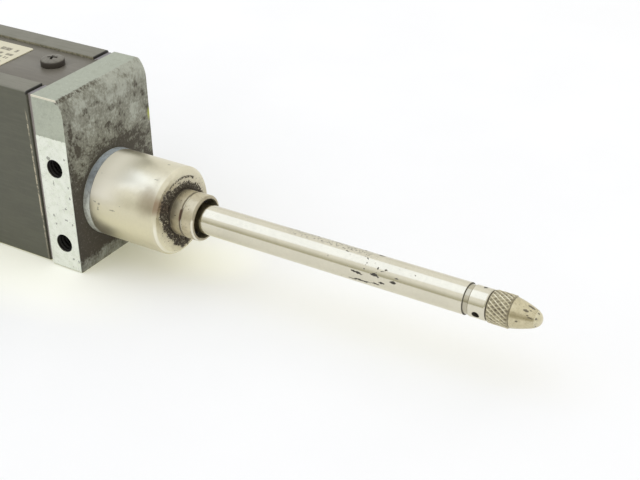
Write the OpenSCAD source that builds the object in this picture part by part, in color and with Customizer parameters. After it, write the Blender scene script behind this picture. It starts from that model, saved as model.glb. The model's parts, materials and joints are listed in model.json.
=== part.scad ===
// Linear gauge sensor: a sprung measuring spindle in a clamping stem, ahead of a slim instrument case.
// +X runs along the spindle towards the contact point and +Z is up, in millimetres.
// The origin is on the spindle's axis, where the clamping stem leaves the boss of the front plate.

/* [Measuring range] */
// Travel of the spindle
stroke = 50; // [36:1:62]
// Gap left between nose bush and contact point when the spindle is fully in
retract_gap = 1.2; // [0.8:0.05:3]
// Gap between a stop and the bumper that meets it
stop_gap = 0.3; // [0.2:0.05:0.6]

/* [Spindle and contact] */
// Diameter of the spindle
spindle_d = 5; // [4.4:0.1:6]
// Length of the spindle's end collar, from its groove to its face
collar_len = 2.8; // [2.2:0.1:5]
// Width of the turned groove behind the collar
groove_w = 0.8; // [0.3:0.1:1.5]
// Depth of that groove
groove_depth = 0.2; // [0.1:0.05:0.4]
// Diameter of the cross hole for a tommy bar
cross_hole_d = 1.2; // [0.8:0.1:1.6]
// Turn of the cross hole about the spindle, from vertical
cross_hole_turn = 110; // [0:5:180]
// Diameter over the grip of the contact point
grip_d = 5.1; // [4.4:0.1:6]
// Length of that grip
grip_len = 3.45; // [2.5:0.05:6]
// Length of the cone ahead of the grip
cone_len = 3.4; // [2.5:0.1:6]
// Diameter where the cone starts
cone_d = 4.7; // [4:0.1:4.8]
// Diameter of the hard ball in the tip
tip_ball_d = 2.7; // [2:0.1:3]
// Diameter of the contact point's screw shank
shank_d = 2.5; // [2:0.1:3]
// Length of that shank
shank_len = 5; // [3:0.5:8]

/* [Stem and nose] */
// Diameter of the clamping stem
stem_d = 15; // [14:0.5:18]
// Length of the clamping stem
stem_len = 13.5; // [12.5:0.1:30]
// Chamfer on the stem's front rim
stem_chamfer = 0.6; // [0.2:0.1:1.2]
// Diameter of the stem's spigot in the front plate
spigot_d = 12; // [11.6:0.1:12.6]
// Outer diameter of the nose bush
nose_d = 7.8; // [7.6:0.1:9]
// Length of the nose bush ahead of the stem
nose_len = 5; // [4:0.1:8]
// Length of the rear step of the nose bush
nose_step_len = 2.4; // [1.5:0.05:3]
// Diameter of the dust recess in the nose bush
nose_recess_d = 6.7; // [6.2:0.1:6.9]
// Diameter of the nose bush's screw spigot
nose_spigot_d = 7; // [6.6:0.1:7.4]

/* [Ball bearing] */
// Outer diameter of the ball bushing
bearing_d = 10; // [9.6:0.1:10.4]
// Length of the ball bushing
bearing_len = 15; // [12:0.5:16]
// Diameter of a ball
ball_d = 1.2; // [0.8:0.1:1.3]
// Rows of balls round the spindle
ball_rows = 4; // [3:1:6]
// Balls in one row
balls_per_row = 8; // [4:1:9]

/* [Front plate] */
// Thickness of the plate
plate_t = 6.35; // [5:0.05:10]
// Overhang of the plate past the near side of the case, where its pad is machined
plate_overhang = 0.5; // [0.2:0.1:3]
// Projection of the boss, which is as wide as the stem that it carries
boss_len = 1.3; // [0.5:0.05:3]
// Radius of the swept top of the front face
brow_r = 5; // [4.5:0.5:8]
// Height over which the front face sweeps back at the near side
brow_h = 3.1; // [1:0.1:3.5]
// Tilt of the line where that sweep starts, which runs lower towards the far side
brow_tilt = 1.3; // [0:0.1:2.5]
// Core diameter of the two tapped side holes
side_hole_d = 3.3; // [2.5:0.1:4]
// Distance between the two side holes
side_hole_pitch = 14; // [12:0.5:18]
// Height of the middle of the two side holes above the spindle's axis
side_hole_mid = 0.5; // [-1:0.1:2]
// Depth of the side holes
side_hole_depth = 5.5; // [3:0.5:5.5]
// Height of the machined pad's top edge above the spindle's axis
pad_top = 13; // [9:0.5:16]

/* [Case] */
// Width of the case
case_w = 20.6; // [20.2:0.1:26]
// Height of the case and the front plate
body_h = 31.5; // [31:0.1:38]
// Height of the spindle's axis above the case's underside
axis_h = 11.5; // [11.3:0.1:13]
// Side step of the case's middle from the spindle's axis
body_mid_y = 1; // [0.8:0.05:1.2]
// Thickness of the case's sheet
sheet = 0.8; // [0.6:0.05:0.9]
// Radius of the case's folded edges
fold_r = 0.5; // [0.4:0.1:1.5]
// Width of each lip folded over the top
lip_w = 4; // [2:0.1:4.5]
// Gap between plate and case at the top
seal_gap_top = 1.45; // [1.2:0.05:2]
// Gap between plate and case at the bottom
seal_gap_bottom = 1.25; // [1.1:0.05:2]
// Thickness of the front gasket's lip, which leaves a crack ahead of the case
gasket_lip = 0.95; // [0.6:0.05:1]
// Gap between rear plate and case
seal_gap_rear = 1.2; // [0.6:0.1:2]
// Thickness of the top cover's flanges
cover_t = 1; // [0.6:0.1:1.4]
// Rise of the top cover's middle above its flanges
cover_rise = 0.4; // [0.2:0.05:0.7]

/* [Cover screws and label] */
// Head diameter of a cover screw
cover_head_d = 4.1; // [3:0.1:5]
// Head height of a cover screw
cover_head_h = 1.35; // [0.8:0.05:2]
// Distance from the front plate to the first cover screw
cover_screw_in = 6; // [5.8:0.1:7]
// Side place of the cover screws
cover_screw_y = 2.2; // [1:0.1:3.5]
// Length of the label
label_len = 42; // [20:1:60]
// Width of the label
label_w = 10; // [6:0.5:11]
// Distance from the front plate to the label
label_in = 13.4; // [11:0.1:20]
// Side place of the label
label_y = 0.6; // [0.3:0.1:1.2]

/* [Rear end] */
// Thickness of the rear plate
rear_t = 5; // [4:0.5:8]
// Bore of the cable inlet
inlet_d = 5.4; // [4:0.2:6]
// Width across the flats of the inlet's hexagon
inlet_hex = 11; // [10:0.5:13]

/* [Mechanism] */
// Thickness of the chassis walls
wall_t = 4; // [3.6:0.1:5]
// Thickness of the chassis floor
floor_t = 2.2; // [1.6:0.1:2.3]
// Length of the carriage
carriage_len = 12; // [10:0.5:16]
// Length of the rear guide bush
guide_len = 10; // [8:0.5:14]
// Outer diameter of the rear guide bush
guide_d = 8; // [7.4:0.1:8.2]
// Diameter of the guide rod
rod_d = 3; // [2.4:0.1:3.2]
// Radial running clearance of every sliding fit
run_gap = 0.03; // [0.02:0.005:0.05]
// Thickness of the glass scale
glass_t = 1.4; // [1:0.1:1.6]
// Height of the glass scale
glass_h = 8.8; // [7:0.1:8.9]
// Reading margin at each end of the glass scale
scale_margin = 5; // [4:0.5:6]
// Thickness of the circuit boards
board_t = 1.2; // [0.8:0.1:1.4]
// Outer diameter of the return spring
spring_d = 3.4; // [2.8:0.1:3.6]
// Wire diameter of the return spring
wire_d = 0.3; // [0.2:0.02:0.36]
// Turns of the return spring
spring_turns = 20; // [12:1:24]

/* [Hidden] */
$fn = 64;
cut = 0.5;
plate_front = -boss_len;
plate_back = plate_front - plate_t;
body_y0 = body_mid_y - case_w / 2;
body_y1 = body_mid_y + case_w / 2;
plate_y0 = body_y0 - plate_overhang;
plate_y1 = body_y1;
body_z0 = -axis_h;
body_z1 = body_h - axis_h;
in_y0 = body_y0 + sheet;
in_y1 = body_y1 - sheet;
in_z0 = body_z0 + sheet;
in_z1 = body_z1 - sheet;
cover_z0 = in_z1 - cover_t;
gasket_inset = 0.2;
gasket_z = cover_z0 - 0.6;
seal_x = plate_back - seal_gap_top - seal_gap_bottom;

nose_x1 = stem_len + nose_len;
collar_x1 = nose_x1 + stroke + retract_gap;
contact_x0 = collar_x1 + 0.15;
cone_x0 = contact_x0 + grip_len + 0.15;
cone_x1 = cone_x0 + cone_len;
// The wiper's lip stays behind the spindle's groove when the spindle is fully in
wiper_x0 = collar_x1 - stroke - collar_len - groove_w - 1.2;

wall_back = plate_back - wall_t;
guide_x1 = plate_back - guide_len;
bumper_t = 2.6;
bumper_proud = 0.6;
bumper_x1 = guide_x1 - bumper_proud;
carriage_x0 = bumper_x1 - stop_gap;
carriage_x1 = carriage_x0 - carriage_len;
spindle_x1 = carriage_x1 - 2;
rear_bumper_x0 = carriage_x1 - stroke - stop_gap;
pedestal_x0 = rear_bumper_x0 - 3;
pedestal_x1 = pedestal_x0 - wall_t;
scale_x0 = wall_back - 1.8;
scale_x1 = scale_x0 - stroke - 2 * scale_margin;
reader_x = scale_x0 - stroke - scale_margin;
rear_wall_x0 = scale_x1 - stroke - 2.5;
rear_x0 = rear_wall_x0 - 3;
rear_x1 = rear_x0 - rear_t;
case_x1 = rear_x0 + seal_gap_rear;

chassis_gap = 0.2;
chassis_y0 = in_y0 + chassis_gap;
chassis_y1 = in_y1 - chassis_gap;
side_y = chassis_y1 - 1.1;
floor_z = in_z0 + floor_t;
side_z1 = cover_z0 - 1;
rod_y = 5.5;
rod_z = -4.2;
rod_bush_d = rod_d + 1.4;
carriage_y0 = -3.7;
carriage_y1 = side_y - 0.3;
carriage_z0 = floor_z + 0.5;
carriage_z1 = 5.6;
bar_y0 = 3.2;
bar_t = 1.8;
bar_h = 3.4;
glass_z0 = carriage_z1 + 0.2;
glass_z1 = glass_z0 + glass_h;
lug_z0 = glass_z1 + 0.6;
board_z0 = lug_z0;
board_z1 = board_z0 + board_t;
board_x0 = reader_x - 11;
board_x1 = rear_wall_x0 + 9.5;
spring_y = in_y0 + spring_d / 2 + 0.4;
spring_ledge = -1.9;
spring_pin_d = 1.2;
front_pin_x = wall_back - 3;
rear_pin_x = carriage_x1 + 1.5;

// A block from its two limits along each axis
module block(x, y, z) {
    translate([x[0], y[0], z[0]]) cube([x[1] - x[0], y[1] - y[0], z[1] - z[0]]);
}

// A round bar along X
module bar_x(d, x0, x1) {
    translate([x0, 0, 0]) rotate([0, 90, 0]) cylinder(d = d, h = x1 - x0);
}

// A round tube along X
module tube_x(outer_d, inner_d, x0, x1) {
    difference() {
        bar_x(outer_d, x0, x1);
        bar_x(inner_d, x0 - cut, x1 + cut);
    }
}

// A body turned about X from a profile of [radius, x] points
module turned(profile) {
    rotate([0, 90, 0]) rotate_extrude() polygon(profile);
}

// A (y, z) outline carried along X
module along_x(x0, x1) {
    translate([x0, 0, 0]) rotate([90, 0, 90]) linear_extrude(height = x1 - x0) children();
}

// An (x, z) outline carried along Y
module along_y(y0, y1) {
    translate([0, y1, 0]) rotate([90, 0, 0]) linear_extrude(height = y1 - y0) children();
}

// A rectangle with round corners, from its limits in y and z
module round_rectangle(y, z, r) {
    translate([y[0] + r, z[0]]) square([y[1] - y[0] - 2 * r, z[1] - z[0]]);
    translate([y[0], z[0] + r]) square([y[1] - y[0], z[1] - z[0] - 2 * r]);
    for (cy = [y[0] + r, y[1] - r], cz = [z[0] + r, z[1] - r]) translate([cy, cz]) circle(r = r);
}

// The waste outside a round edge along X: corner at (y, z), the solid lying towards (-sy, -sz)
module edge_waste_x(y, z, sy, sz, r, x0, x1) {
    difference() {
        block([x0, x1], [min(y - sy * r, y + sy), max(y - sy * r, y + sy)],
            [min(z - sz * r, z + sz), max(z - sz * r, z + sz)]);
        translate([0, y - sy * r, z - sz * r]) bar_x(2 * r, x0 - cut, x1 + cut);
    }
}

// A pan head screw, its shank down along -Z and its head's seat at z = 0.
// Its head has a round shoulder under a slight dome, and a cross recess whose arms taper inwards.
module pan_screw(thread_d, len, head_d, head_h) {
    r = head_d / 2;
    shoulder = head_h * 0.32;
    arm_w = head_d * 0.11;
    recess_z = head_h * 0.35;
    shoulder_z = head_h * 0.88 - shoulder;
    side = [for (a = [0:15:75]) [r - shoulder * (1 - cos(a)), shoulder_z + shoulder * sin(a)]];
    difference() {
        union() {
            translate([0, 0, -len]) cylinder(d = thread_d, h = len);
            rotate_extrude()
                polygon(concat([[0, 0], [r, 0]], side, [[r * 0.4, head_h * 0.98], [0, head_h]]));
        }
        intersection() {
            for (turn = [25, 115]) rotate([0, 0, turn])
                block([-r, r], [-arm_w / 2, arm_w / 2], [recess_z, head_h + cut]);
            translate([0, 0, recess_z])
                cylinder(r1 = arm_w * 0.9, r2 = r * 0.62, h = head_h - recess_z + cut);
        }
    }
}

// A cheese head screw with a hexagon socket, laid out as the pan head screw is
module socket_screw(thread_d, len, head_d, head_h) {
    difference() {
        union() {
            translate([0, 0, -len]) cylinder(d = thread_d, h = len);
            cylinder(d = head_d, h = head_h);
        }
        translate([0, 0, head_h * 0.4]) cylinder(d = head_d * 0.5, h = head_h, $fn = 6);
    }
}

// Front face of the case at height z: it leans by the difference of the two gaps to the plate
function case_front(z) = plate_back - seal_gap_bottom
    - (seal_gap_top - seal_gap_bottom) * (z - body_z0) / body_h;

// Places of the screws that hold the chassis to the front plate, as [y, z]
chassis_screw_at = [[-5.5, 12], [6.5, 12], [-6.7, 3.4], [6.9, 1.5]];
chassis_screw_d = 1.8;
flange_x0 = min(case_front(cover_z0), case_front(in_z1));
side_hole_x = plate_back + plate_t * 0.508;

module front_end_plate() {
    color([0.66, 0.69, 0.63]) difference() {
        union() {
            block([plate_back, plate_front], [plate_y0, plate_y1], [body_z0, body_z1]);
            bar_x(stem_d, plate_front - cut, 0);
        }
        // swept brow at the top of the front face
        translate([plate_front - brow_r, plate_y0, body_z1 - brow_h]) rotate([-brow_tilt, 0, 0])
            difference() {
                block([0, brow_r + cut], [-1, case_w + 3], [0, brow_r + 1]);
                translate([0, -2, 0]) rotate([-90, 0, 0]) cylinder(r = brow_r, h = case_w + 6);
            }
        // cast round corners of the far side and a slight one under the front face
        edge_waste_x(plate_y1, body_z1, 1, 1, 0.4, plate_back - cut, plate_front + cut);
        edge_waste_x(plate_y1, body_z0, 1, -1, 1.2, plate_back - cut, plate_front + cut);
        edge_waste_x(plate_y0, body_z0, -1, -1, 0.4, plate_back - cut, plate_front + cut);
        // cast flank above the machined pad, a hair below it
        block([plate_back - cut, plate_front + cut], [plate_y0 - cut, plate_y0 + 0.08],
            [pad_top, body_z1 + cut]);
        // bore for the stem's spigot
        bar_x(spigot_d, plate_back - cut, cut);
        // tapped side holes
        for (side = [-1, 1])
            translate([side_hole_x, plate_y0, side_hole_mid + side * side_hole_pitch / 2]) rotate([-90, 0, 0])
                translate([0, 0, -cut]) cylinder(d = side_hole_d, h = side_hole_depth + cut);
        // tapped holes for the chassis screws
        for (at = chassis_screw_at) translate([0, at[0], at[1]])
            bar_x(chassis_screw_d, plate_back - cut, plate_back + 3.6);
    }
}

module stem_sleeve() {
    web_x = plate_back + 1.2 + bearing_len;
    color([0.78, 0.75, 0.68]) turned([
        [bearing_d / 2, plate_back],
        [spigot_d / 2, plate_back],
        [spigot_d / 2, 0],
        [stem_d / 2, 0],
        [stem_d / 2, stem_len - stem_chamfer],
        [stem_d / 2 - stem_chamfer, stem_len],
        [nose_spigot_d / 2, stem_len],
        [nose_spigot_d / 2, web_x],
        [bearing_d / 2, web_x]]);
}

module nose_bush() {
    groove_r = nose_d / 2 - 0.25;
    step_x = stem_len + nose_step_len;
    rear_r = nose_d / 2 - 0.05;
    color([0.72, 0.70, 0.62]) turned([
        [spindle_d / 2 + 0.2, stem_len - 3.4],
        [nose_spigot_d / 2, stem_len - 3.4],
        [nose_spigot_d / 2, stem_len],
        [rear_r, stem_len],
        [rear_r, step_x - 0.1],
        [groove_r, step_x],
        [groove_r, step_x + 0.12],
        [nose_d / 2, step_x + 0.35],
        [nose_d / 2, nose_x1 - 0.3],
        [nose_d / 2 - 0.3, nose_x1],
        [nose_recess_d / 2, nose_x1],
        [nose_recess_d / 2, wiper_x0],
        [spindle_d / 2 + 0.2, wiper_x0]]);
}

module spindle_wiper() {
    lip_r = spindle_d / 2 + run_gap;
    color([0.12, 0.12, 0.11]) turned([
        [lip_r + 0.3, wiper_x0],
        [nose_recess_d / 2, wiper_x0],
        [nose_recess_d / 2, wiper_x0 + 1.5],
        [lip_r + 0.35, wiper_x0 + 1.5],
        [lip_r, wiper_x0 + 1.1],
        [lip_r, wiper_x0 + 0.8]]);
}

ball_centre_r = spindle_d / 2 + run_gap + ball_d / 2;
race_r = ball_centre_r + ball_d / 2;
bearing_x0 = plate_back + 1.2;

module bearing_shell() {
    color([0.75, 0.75, 0.74]) tube_x(bearing_d, 2 * race_r, bearing_x0, bearing_x0 + bearing_len);
}

// Puts its child at the centre of each ball
module at_balls() {
    pitch = (bearing_len - 2.4) / balls_per_row;
    for (row = [0:ball_rows - 1], i = [0:balls_per_row - 1])
        rotate([row * 360 / ball_rows + 45, 0, 0])
            translate([bearing_x0 + 1.2 + pitch * (i + 0.5), 0, ball_centre_r]) children();
}

module ball_cage() {
    color([0.80, 0.66, 0.36]) difference() {
        tube_x(2 * race_r - 0.1, spindle_d + 0.5, bearing_x0 + 0.3, bearing_x0 + bearing_len - 0.3);
        at_balls() cylinder(d = ball_d + 0.06, h = 2 * ball_d, center = true);
    }
}

module bearing_balls() {
    color([0.82, 0.82, 0.82]) at_balls() sphere(d = ball_d);
}

module bearing_clip() {
    color([0.35, 0.35, 0.34]) tube_x(bearing_d, spindle_d + 2.4, plate_back, bearing_x0);
}

module spindle() {
    r = spindle_d / 2;
    groove_x = collar_x1 - collar_len - groove_w;
    color([0.83, 0.82, 0.77]) difference() {
        turned([
            [0, spindle_x1],
            [r - 0.4, spindle_x1],
            [r, spindle_x1 + 0.4],
            [r, groove_x],
            [r - groove_depth, groove_x],
            [r - groove_depth, groove_x + groove_w],
            [r - 0.06, groove_x + groove_w + 0.14],
            [r - 0.06, collar_x1 - 0.15],
            [r - 0.2, collar_x1],
            [shank_d / 2, collar_x1],
            [shank_d / 2, collar_x1 - shank_len - 0.5],
            [0, collar_x1 - shank_len - 0.5]]);
        translate([collar_x1 - collar_len / 2, 0, 0]) rotate([cross_hole_turn, 0, 0])
            cylinder(d = cross_hole_d, h = 2 * spindle_d, center = true);
    }
}

module contact_point() {
    tip_r = tip_ball_d / 2;
    color([0.75, 0.71, 0.58]) difference() {
        turned([
            [0, collar_x1 - shank_len],
            [shank_d / 2, collar_x1 - shank_len],
            [shank_d / 2, collar_x1],
            [grip_d / 2 - 0.45, collar_x1],
            [grip_d / 2 - 0.45, contact_x0],
            [grip_d / 2 - 0.3, contact_x0],
            [grip_d / 2, contact_x0 + 0.3],
            [grip_d / 2, cone_x0 - 0.4],
            [cone_d / 2, cone_x0 - 0.15],
            [cone_d / 2 - 0.12, cone_x0 - 0.1],
            [cone_d / 2 - 0.12, cone_x0],
            [cone_d / 2, cone_x0],
            [cone_d / 2 - 0.3, cone_x0 + cone_len * 0.3],
            [tip_r - 0.02, cone_x1],
            [0, cone_x1]]);
        translate([cone_x1 - 0.45, 0, 0]) sphere(d = tip_ball_d);
        translate([collar_x1 - collar_len / 2, 0, 0]) rotate([cross_hole_turn, 0, 0])
            cylinder(d = cross_hole_d, h = 2 * spindle_d, center = true);
    }
}

module contact_tip() {
    color([0.86, 0.85, 0.80]) translate([cone_x1 - 0.45, 0, 0]) sphere(d = tip_ball_d);
}

module case_shell() {
    color([0.34, 0.33, 0.29]) difference() {
        along_x(case_x1, plate_back) difference() {
            round_rectangle([body_y0, body_y1], [body_z0, body_z1], fold_r);
            translate([in_y0, in_z0]) square([in_y1 - in_y0, in_z1 - in_z0]);
            translate([body_y0 + lip_w, in_z1 - cut]) square([case_w - 2 * lip_w, sheet + 2 * cut]);
        }
        // leaning front edge
        along_y(body_y0 - cut, body_y1 + cut) polygon([
            [case_front(body_z0 - cut), body_z0 - cut],
            [plate_back + cut, body_z0 - cut],
            [plate_back + cut, body_z1 + cut],
            [case_front(body_z1 + cut), body_z1 + cut]]);
    }
}

cover_mid_y0 = body_y0 + lip_w + 0.1;
cover_mid_y1 = body_y1 - lip_w - 0.1;
cover_top = in_z1 + cover_rise;
cover_screw_x = [plate_back - cover_screw_in, rear_wall_x0 + 3.6];
cover_thread_d = 2;

module top_cover() {
    color([0.48, 0.46, 0.42]) difference() {
        union() {
            block([case_x1, flange_x0], [in_y0 + 0.1, in_y1 - 0.1], [cover_z0, in_z1]);
            block([rear_x0 + 0.1, plate_back - 0.25], [cover_mid_y0, cover_mid_y1],
                [cover_z0, cover_top]);
        }
        for (x = cover_screw_x) translate([x, cover_screw_y, cover_z0 - cut])
            cylinder(d = cover_thread_d + 0.3, h = 4 * cover_t);
    }
}

module cover_screws() {
    color([0.10, 0.10, 0.09]) for (x = cover_screw_x) translate([x, cover_screw_y, cover_top])
        pan_screw(cover_thread_d, cover_top - cover_z0 + 2.4, cover_head_d, cover_head_h);
}

module rating_label() {
    color([0.83, 0.81, 0.72]) along_label()
        round_rectangle([-label_w / 2, label_w / 2], [0, label_len], 0.4);
}

// The label's outline lies flat on the cover, its length along -X
module along_label() {
    translate([plate_back - label_in, label_y, cover_top]) rotate([0, 0, 90])
        linear_extrude(height = 0.15) children();
}

// The gasket's lip fills the gap beside the plate, and a lower ring behind it meets the case's front edge
module front_gasket() {
    ring_inset = sheet / 2;
    color([0.20, 0.19, 0.17]) difference() {
        union() {
            along_x(plate_back - gasket_lip, plate_back)
                round_rectangle([body_y0 + gasket_inset, body_y1 - gasket_inset],
                    [body_z0 + gasket_inset, body_z1 - gasket_inset], fold_r);
            along_y(body_y0 + ring_inset, body_y1 - ring_inset) polygon([
                [plate_back, body_z0 + ring_inset],
                [plate_back, body_z1 - ring_inset],
                [case_front(body_z1 - ring_inset), body_z1 - ring_inset],
                [case_front(body_z0 + ring_inset), body_z0 + ring_inset]]);
        }
        block([seal_x, plate_back + cut], [in_y0, in_y1], [in_z0, gasket_z]);
        // notch for the cover's middle
        block([seal_x, plate_back + cut], [cover_mid_y0 - 0.1, cover_mid_y1 + 0.1],
            [cover_z0, body_z1]);
    }
}

module rear_gasket() {
    color([0.20, 0.19, 0.17]) difference() {
        block([rear_x0, case_x1], [body_y0 + gasket_inset, body_y1 - gasket_inset],
            [body_z0 + gasket_inset, cover_z0]);
        block([rear_x0 - cut, case_x1 + cut], [in_y0, in_y1], [in_z0, gasket_z]);
    }
}

rear_screw_at = [[chassis_y0 + 2.2, floor_z - 0.1], [chassis_y1 - 2.2, floor_z - 0.1],
    [chassis_y0 + 2.2, cover_z0 - 2.6], [chassis_y1 - 2.2, cover_z0 - 2.6]];
rear_screw_d = 2;
rear_sink = 1.8;
inlet_y = -2;
inlet_z = 4;
inlet_thread_d = inlet_d + 2.6;

module rear_end_plate() {
    color([0.66, 0.69, 0.63]) difference() {
        along_x(rear_x1, rear_x0) round_rectangle([plate_y0, plate_y1], [body_z0, body_z1], 1.5);
        for (at = rear_screw_at) translate([0, at[0], at[1]]) {
            bar_x(rear_screw_d + 0.4, rear_x1 - cut, rear_x0 + cut);
            bar_x(4.4, rear_x1 - cut, rear_x1 + rear_sink);
        }
        translate([0, inlet_y, inlet_z]) bar_x(inlet_thread_d, rear_x1 - cut, rear_x0 + cut);
    }
}

module rear_plate_screws() {
    color([0.10, 0.10, 0.09]) for (at = rear_screw_at)
        translate([rear_x1 + rear_sink, at[0], at[1]]) rotate([0, -90, 0])
            pan_screw(rear_screw_d, rear_t - rear_sink + 2.6, 3.8, 1.5);
}

module cable_inlet() {
    color([0.55, 0.55, 0.53]) translate([0, inlet_y, inlet_z]) difference() {
        union() {
            bar_x(inlet_thread_d, rear_x1 - cut, rear_x0);
            translate([rear_x1, 0, 0]) rotate([0, -90, 0])
                cylinder(d = inlet_hex * 2 / sqrt(3), h = 3, $fn = 6);
            bar_x(inlet_hex - 1, rear_x1 - 7, rear_x1 - 2);
        }
        bar_x(inlet_d, rear_x1 - 8, rear_x0 + cut);
        bar_x(inlet_d + 2, rear_x1 - 8, rear_x1 - 1);
    }
}

module inlet_grommet() {
    color([0.10, 0.10, 0.10]) translate([0, inlet_y, inlet_z])
        tube_x(inlet_d + 2, inlet_d - 0.4, rear_x1 - 6.6, rear_x1 - 1);
}

module chassis() {
    color([0.62, 0.63, 0.64]) difference() {
        union() {
            // front wall with the ledge for the first cover screw
            block([wall_back, plate_back], [chassis_y0, chassis_y1], [in_z0, side_z1 - 0.4]);
            block([cover_screw_x[0] - 3, plate_back], [-1.2, 5.4], [lug_z0, cover_z0]);
            // floor and far side wall
            block([rear_x0, plate_back], [chassis_y0, chassis_y1], [in_z0, floor_z]);
            block([rear_x0, plate_back], [side_y, chassis_y1], [in_z0, side_z1 - 0.4]);
            // rear wall with the ledge for the second cover screw
            block([rear_x0, rear_wall_x0], [chassis_y0, chassis_y1], [in_z0, cover_z0]);
            block([rear_x0, cover_screw_x[1] + 3], [-1.2, 5.4], [lug_z0, cover_z0]);
            // pedestal for the guide rod
            block([pedestal_x1, pedestal_x0], [rod_y - 3.3, chassis_y1], [in_z0, rod_z + 2.8]);
            // ledge for the spring pin
            block([wall_back - 3.8, plate_back], [chassis_y0 + 0.6, spring_y + 1.4], [-4, spring_ledge]);
        }
        bar_x(guide_d, guide_x1, plate_back + cut);
        translate([0, rod_y, rod_z]) bar_x(rod_d, pedestal_x1 - cut, plate_back + cut);
        for (at = chassis_screw_at) translate([0, at[0], at[1]])
            bar_x(chassis_screw_d + 0.3, wall_back - cut, plate_back + cut);
        for (x = cover_screw_x) translate([x, cover_screw_y, cover_z0 - 2.6])
            cylinder(d = cover_thread_d, h = 4);
        for (at = rear_screw_at) translate([0, at[0], at[1]])
            bar_x(rear_screw_d, rear_x0 - cut, rear_wall_x0 + 1);
        translate([front_pin_x, spring_y, -5]) cylinder(d = spring_pin_d, h = 5);
        // steps under the top bars of the two gaskets
        block([min(case_front(gasket_z), flange_x0), plate_back + cut], [in_y0, in_y1],
            [gasket_z, cover_z0 + cut]);
        block([rear_x0 - cut, case_x1], [in_y0, in_y1], [gasket_z, cover_z0 + cut]);
        // window for the leads
        block([rear_x0 - cut, rear_wall_x0 + cut], [inlet_y - 3.6, inlet_y + 3.6],
            [inlet_z - 5, inlet_z + 5]);
        // openings that lighten the far side wall
        for (i = [0:2]) block([reader_x - 40 + i * 10, reader_x - 33 + i * 10],
            [side_y - cut, chassis_y1 + cut], [-4, 8]);
        reader_screw_places() translate([0, 0, -1.5]) cylinder(d = 1.7, h = 4);
        reader_screw_places() translate([0, 0, -0.7]) cylinder(d1 = 1.7, d2 = 3.1, h = 0.7);
    }
}

module chassis_screws() {
    color([0.30, 0.30, 0.29]) for (at = chassis_screw_at)
        translate([wall_back, at[0], at[1]]) rotate([0, -90, 0])
            socket_screw(chassis_screw_d, wall_t + 3.4, 3.2, 1.4);
}

module rear_guide_bush() {
    color([0.80, 0.64, 0.34]) tube_x(guide_d, spindle_d + 2 * run_gap, guide_x1, plate_back);
}

module front_bumper() {
    color([0.14, 0.14, 0.13]) tube_x(guide_d + 1, guide_d, bumper_x1, bumper_x1 + bumper_t);
}

module rear_bumper() {
    color([0.14, 0.14, 0.13]) translate([0, rod_y, rod_z])
        tube_x(rod_d + 2.8, rod_d, pedestal_x0, rear_bumper_x0);
}

module guide_rod() {
    color([0.80, 0.80, 0.78]) translate([0, rod_y, rod_z]) bar_x(rod_d, pedestal_x1, plate_back);
}

holder_screw_x = [carriage_x0 - 2.6, carriage_x1 + 2.6];
holder_screw_y = bar_y0 + bar_t + 1.7;
foot_t = 1.6;

module carriage() {
    color([0.70, 0.70, 0.69]) difference() {
        union() {
            block([carriage_x1, carriage_x0], [carriage_y0, carriage_y1], [carriage_z0, carriage_z1]);
            block([carriage_x1, carriage_x1 + 3], [chassis_y0 + 0.8, carriage_y0 + cut], [-4, spring_ledge]);
        }
        bar_x(spindle_d, carriage_x1 - cut, carriage_x0 + cut);
        translate([0, rod_y, rod_z]) bar_x(rod_bush_d, carriage_x1 - cut, carriage_x0 + cut);
        translate([(carriage_x0 + carriage_x1) / 2, 0, 0]) cylinder(d = 2.4, h = 10);
        for (x = holder_screw_x) translate([x, holder_screw_y, carriage_z1 - 3]) cylinder(d = 1.6, h = 5);
        translate([rear_pin_x, spring_y, -5]) cylinder(d = spring_pin_d, h = 5);
        // relief under the spindle
        block([carriage_x1 + 2.5, carriage_x0 - 2.5], [carriage_y0 - cut, 1.5], [carriage_z0 - cut, -4.2]);
    }
}

module carriage_grub_screw() {
    color([0.20, 0.20, 0.20]) translate([(carriage_x0 + carriage_x1) / 2, 0, spindle_d / 2]) difference() {
        cylinder(d = 2.4, h = 2.8);
        translate([0, 0, 1.4]) cylinder(d = 1.3, h = 3, $fn = 6);
    }
}

module rod_bush() {
    color([0.90, 0.90, 0.86]) translate([0, rod_y, rod_z])
        tube_x(rod_bush_d, rod_d + 2 * run_gap, carriage_x1, carriage_x0);
}

module scale_holder() {
    color([0.68, 0.69, 0.70]) difference() {
        union() {
            block([scale_x1, scale_x0], [bar_y0, bar_y0 + bar_t], [carriage_z1, carriage_z1 + bar_h]);
            block([carriage_x1, carriage_x0], [bar_y0, carriage_y1], [carriage_z1, carriage_z1 + foot_t]);
        }
        for (x = holder_screw_x) translate([x, holder_screw_y, carriage_z1 - cut]) cylinder(d = 1.8, h = 4);
    }
}

module holder_screws() {
    color([0.30, 0.30, 0.29]) for (x = holder_screw_x)
        translate([x, holder_screw_y, carriage_z1 + foot_t]) socket_screw(1.6, foot_t + 2.6, 2.8, 0.9);
}

module glass_scale() {
    color([0.72, 0.84, 0.84, 0.6])
        block([scale_x1, scale_x0], [bar_y0 - glass_t, bar_y0], [glass_z0, glass_z1]);
}

reader_len = 14;
reader_top = side_z1;
reader_slot_y0 = bar_y0 - glass_t - 0.3;
reader_slot_y1 = bar_y0 + 0.3;
reader_y0 = -3.4;
lens_z = glass_z0 + glass_h * 0.7;
pocket_y = side_y - 1.6;

// Puts its child, +Z outwards, where each reader screw meets the chassis's far face
module reader_screw_places() {
    for (side = [-1, 1]) translate([reader_x + side * (reader_len / 2 - 1.6), chassis_y1, reader_top - 3.2])
        rotate([-90, 0, 0]) children();
}

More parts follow.
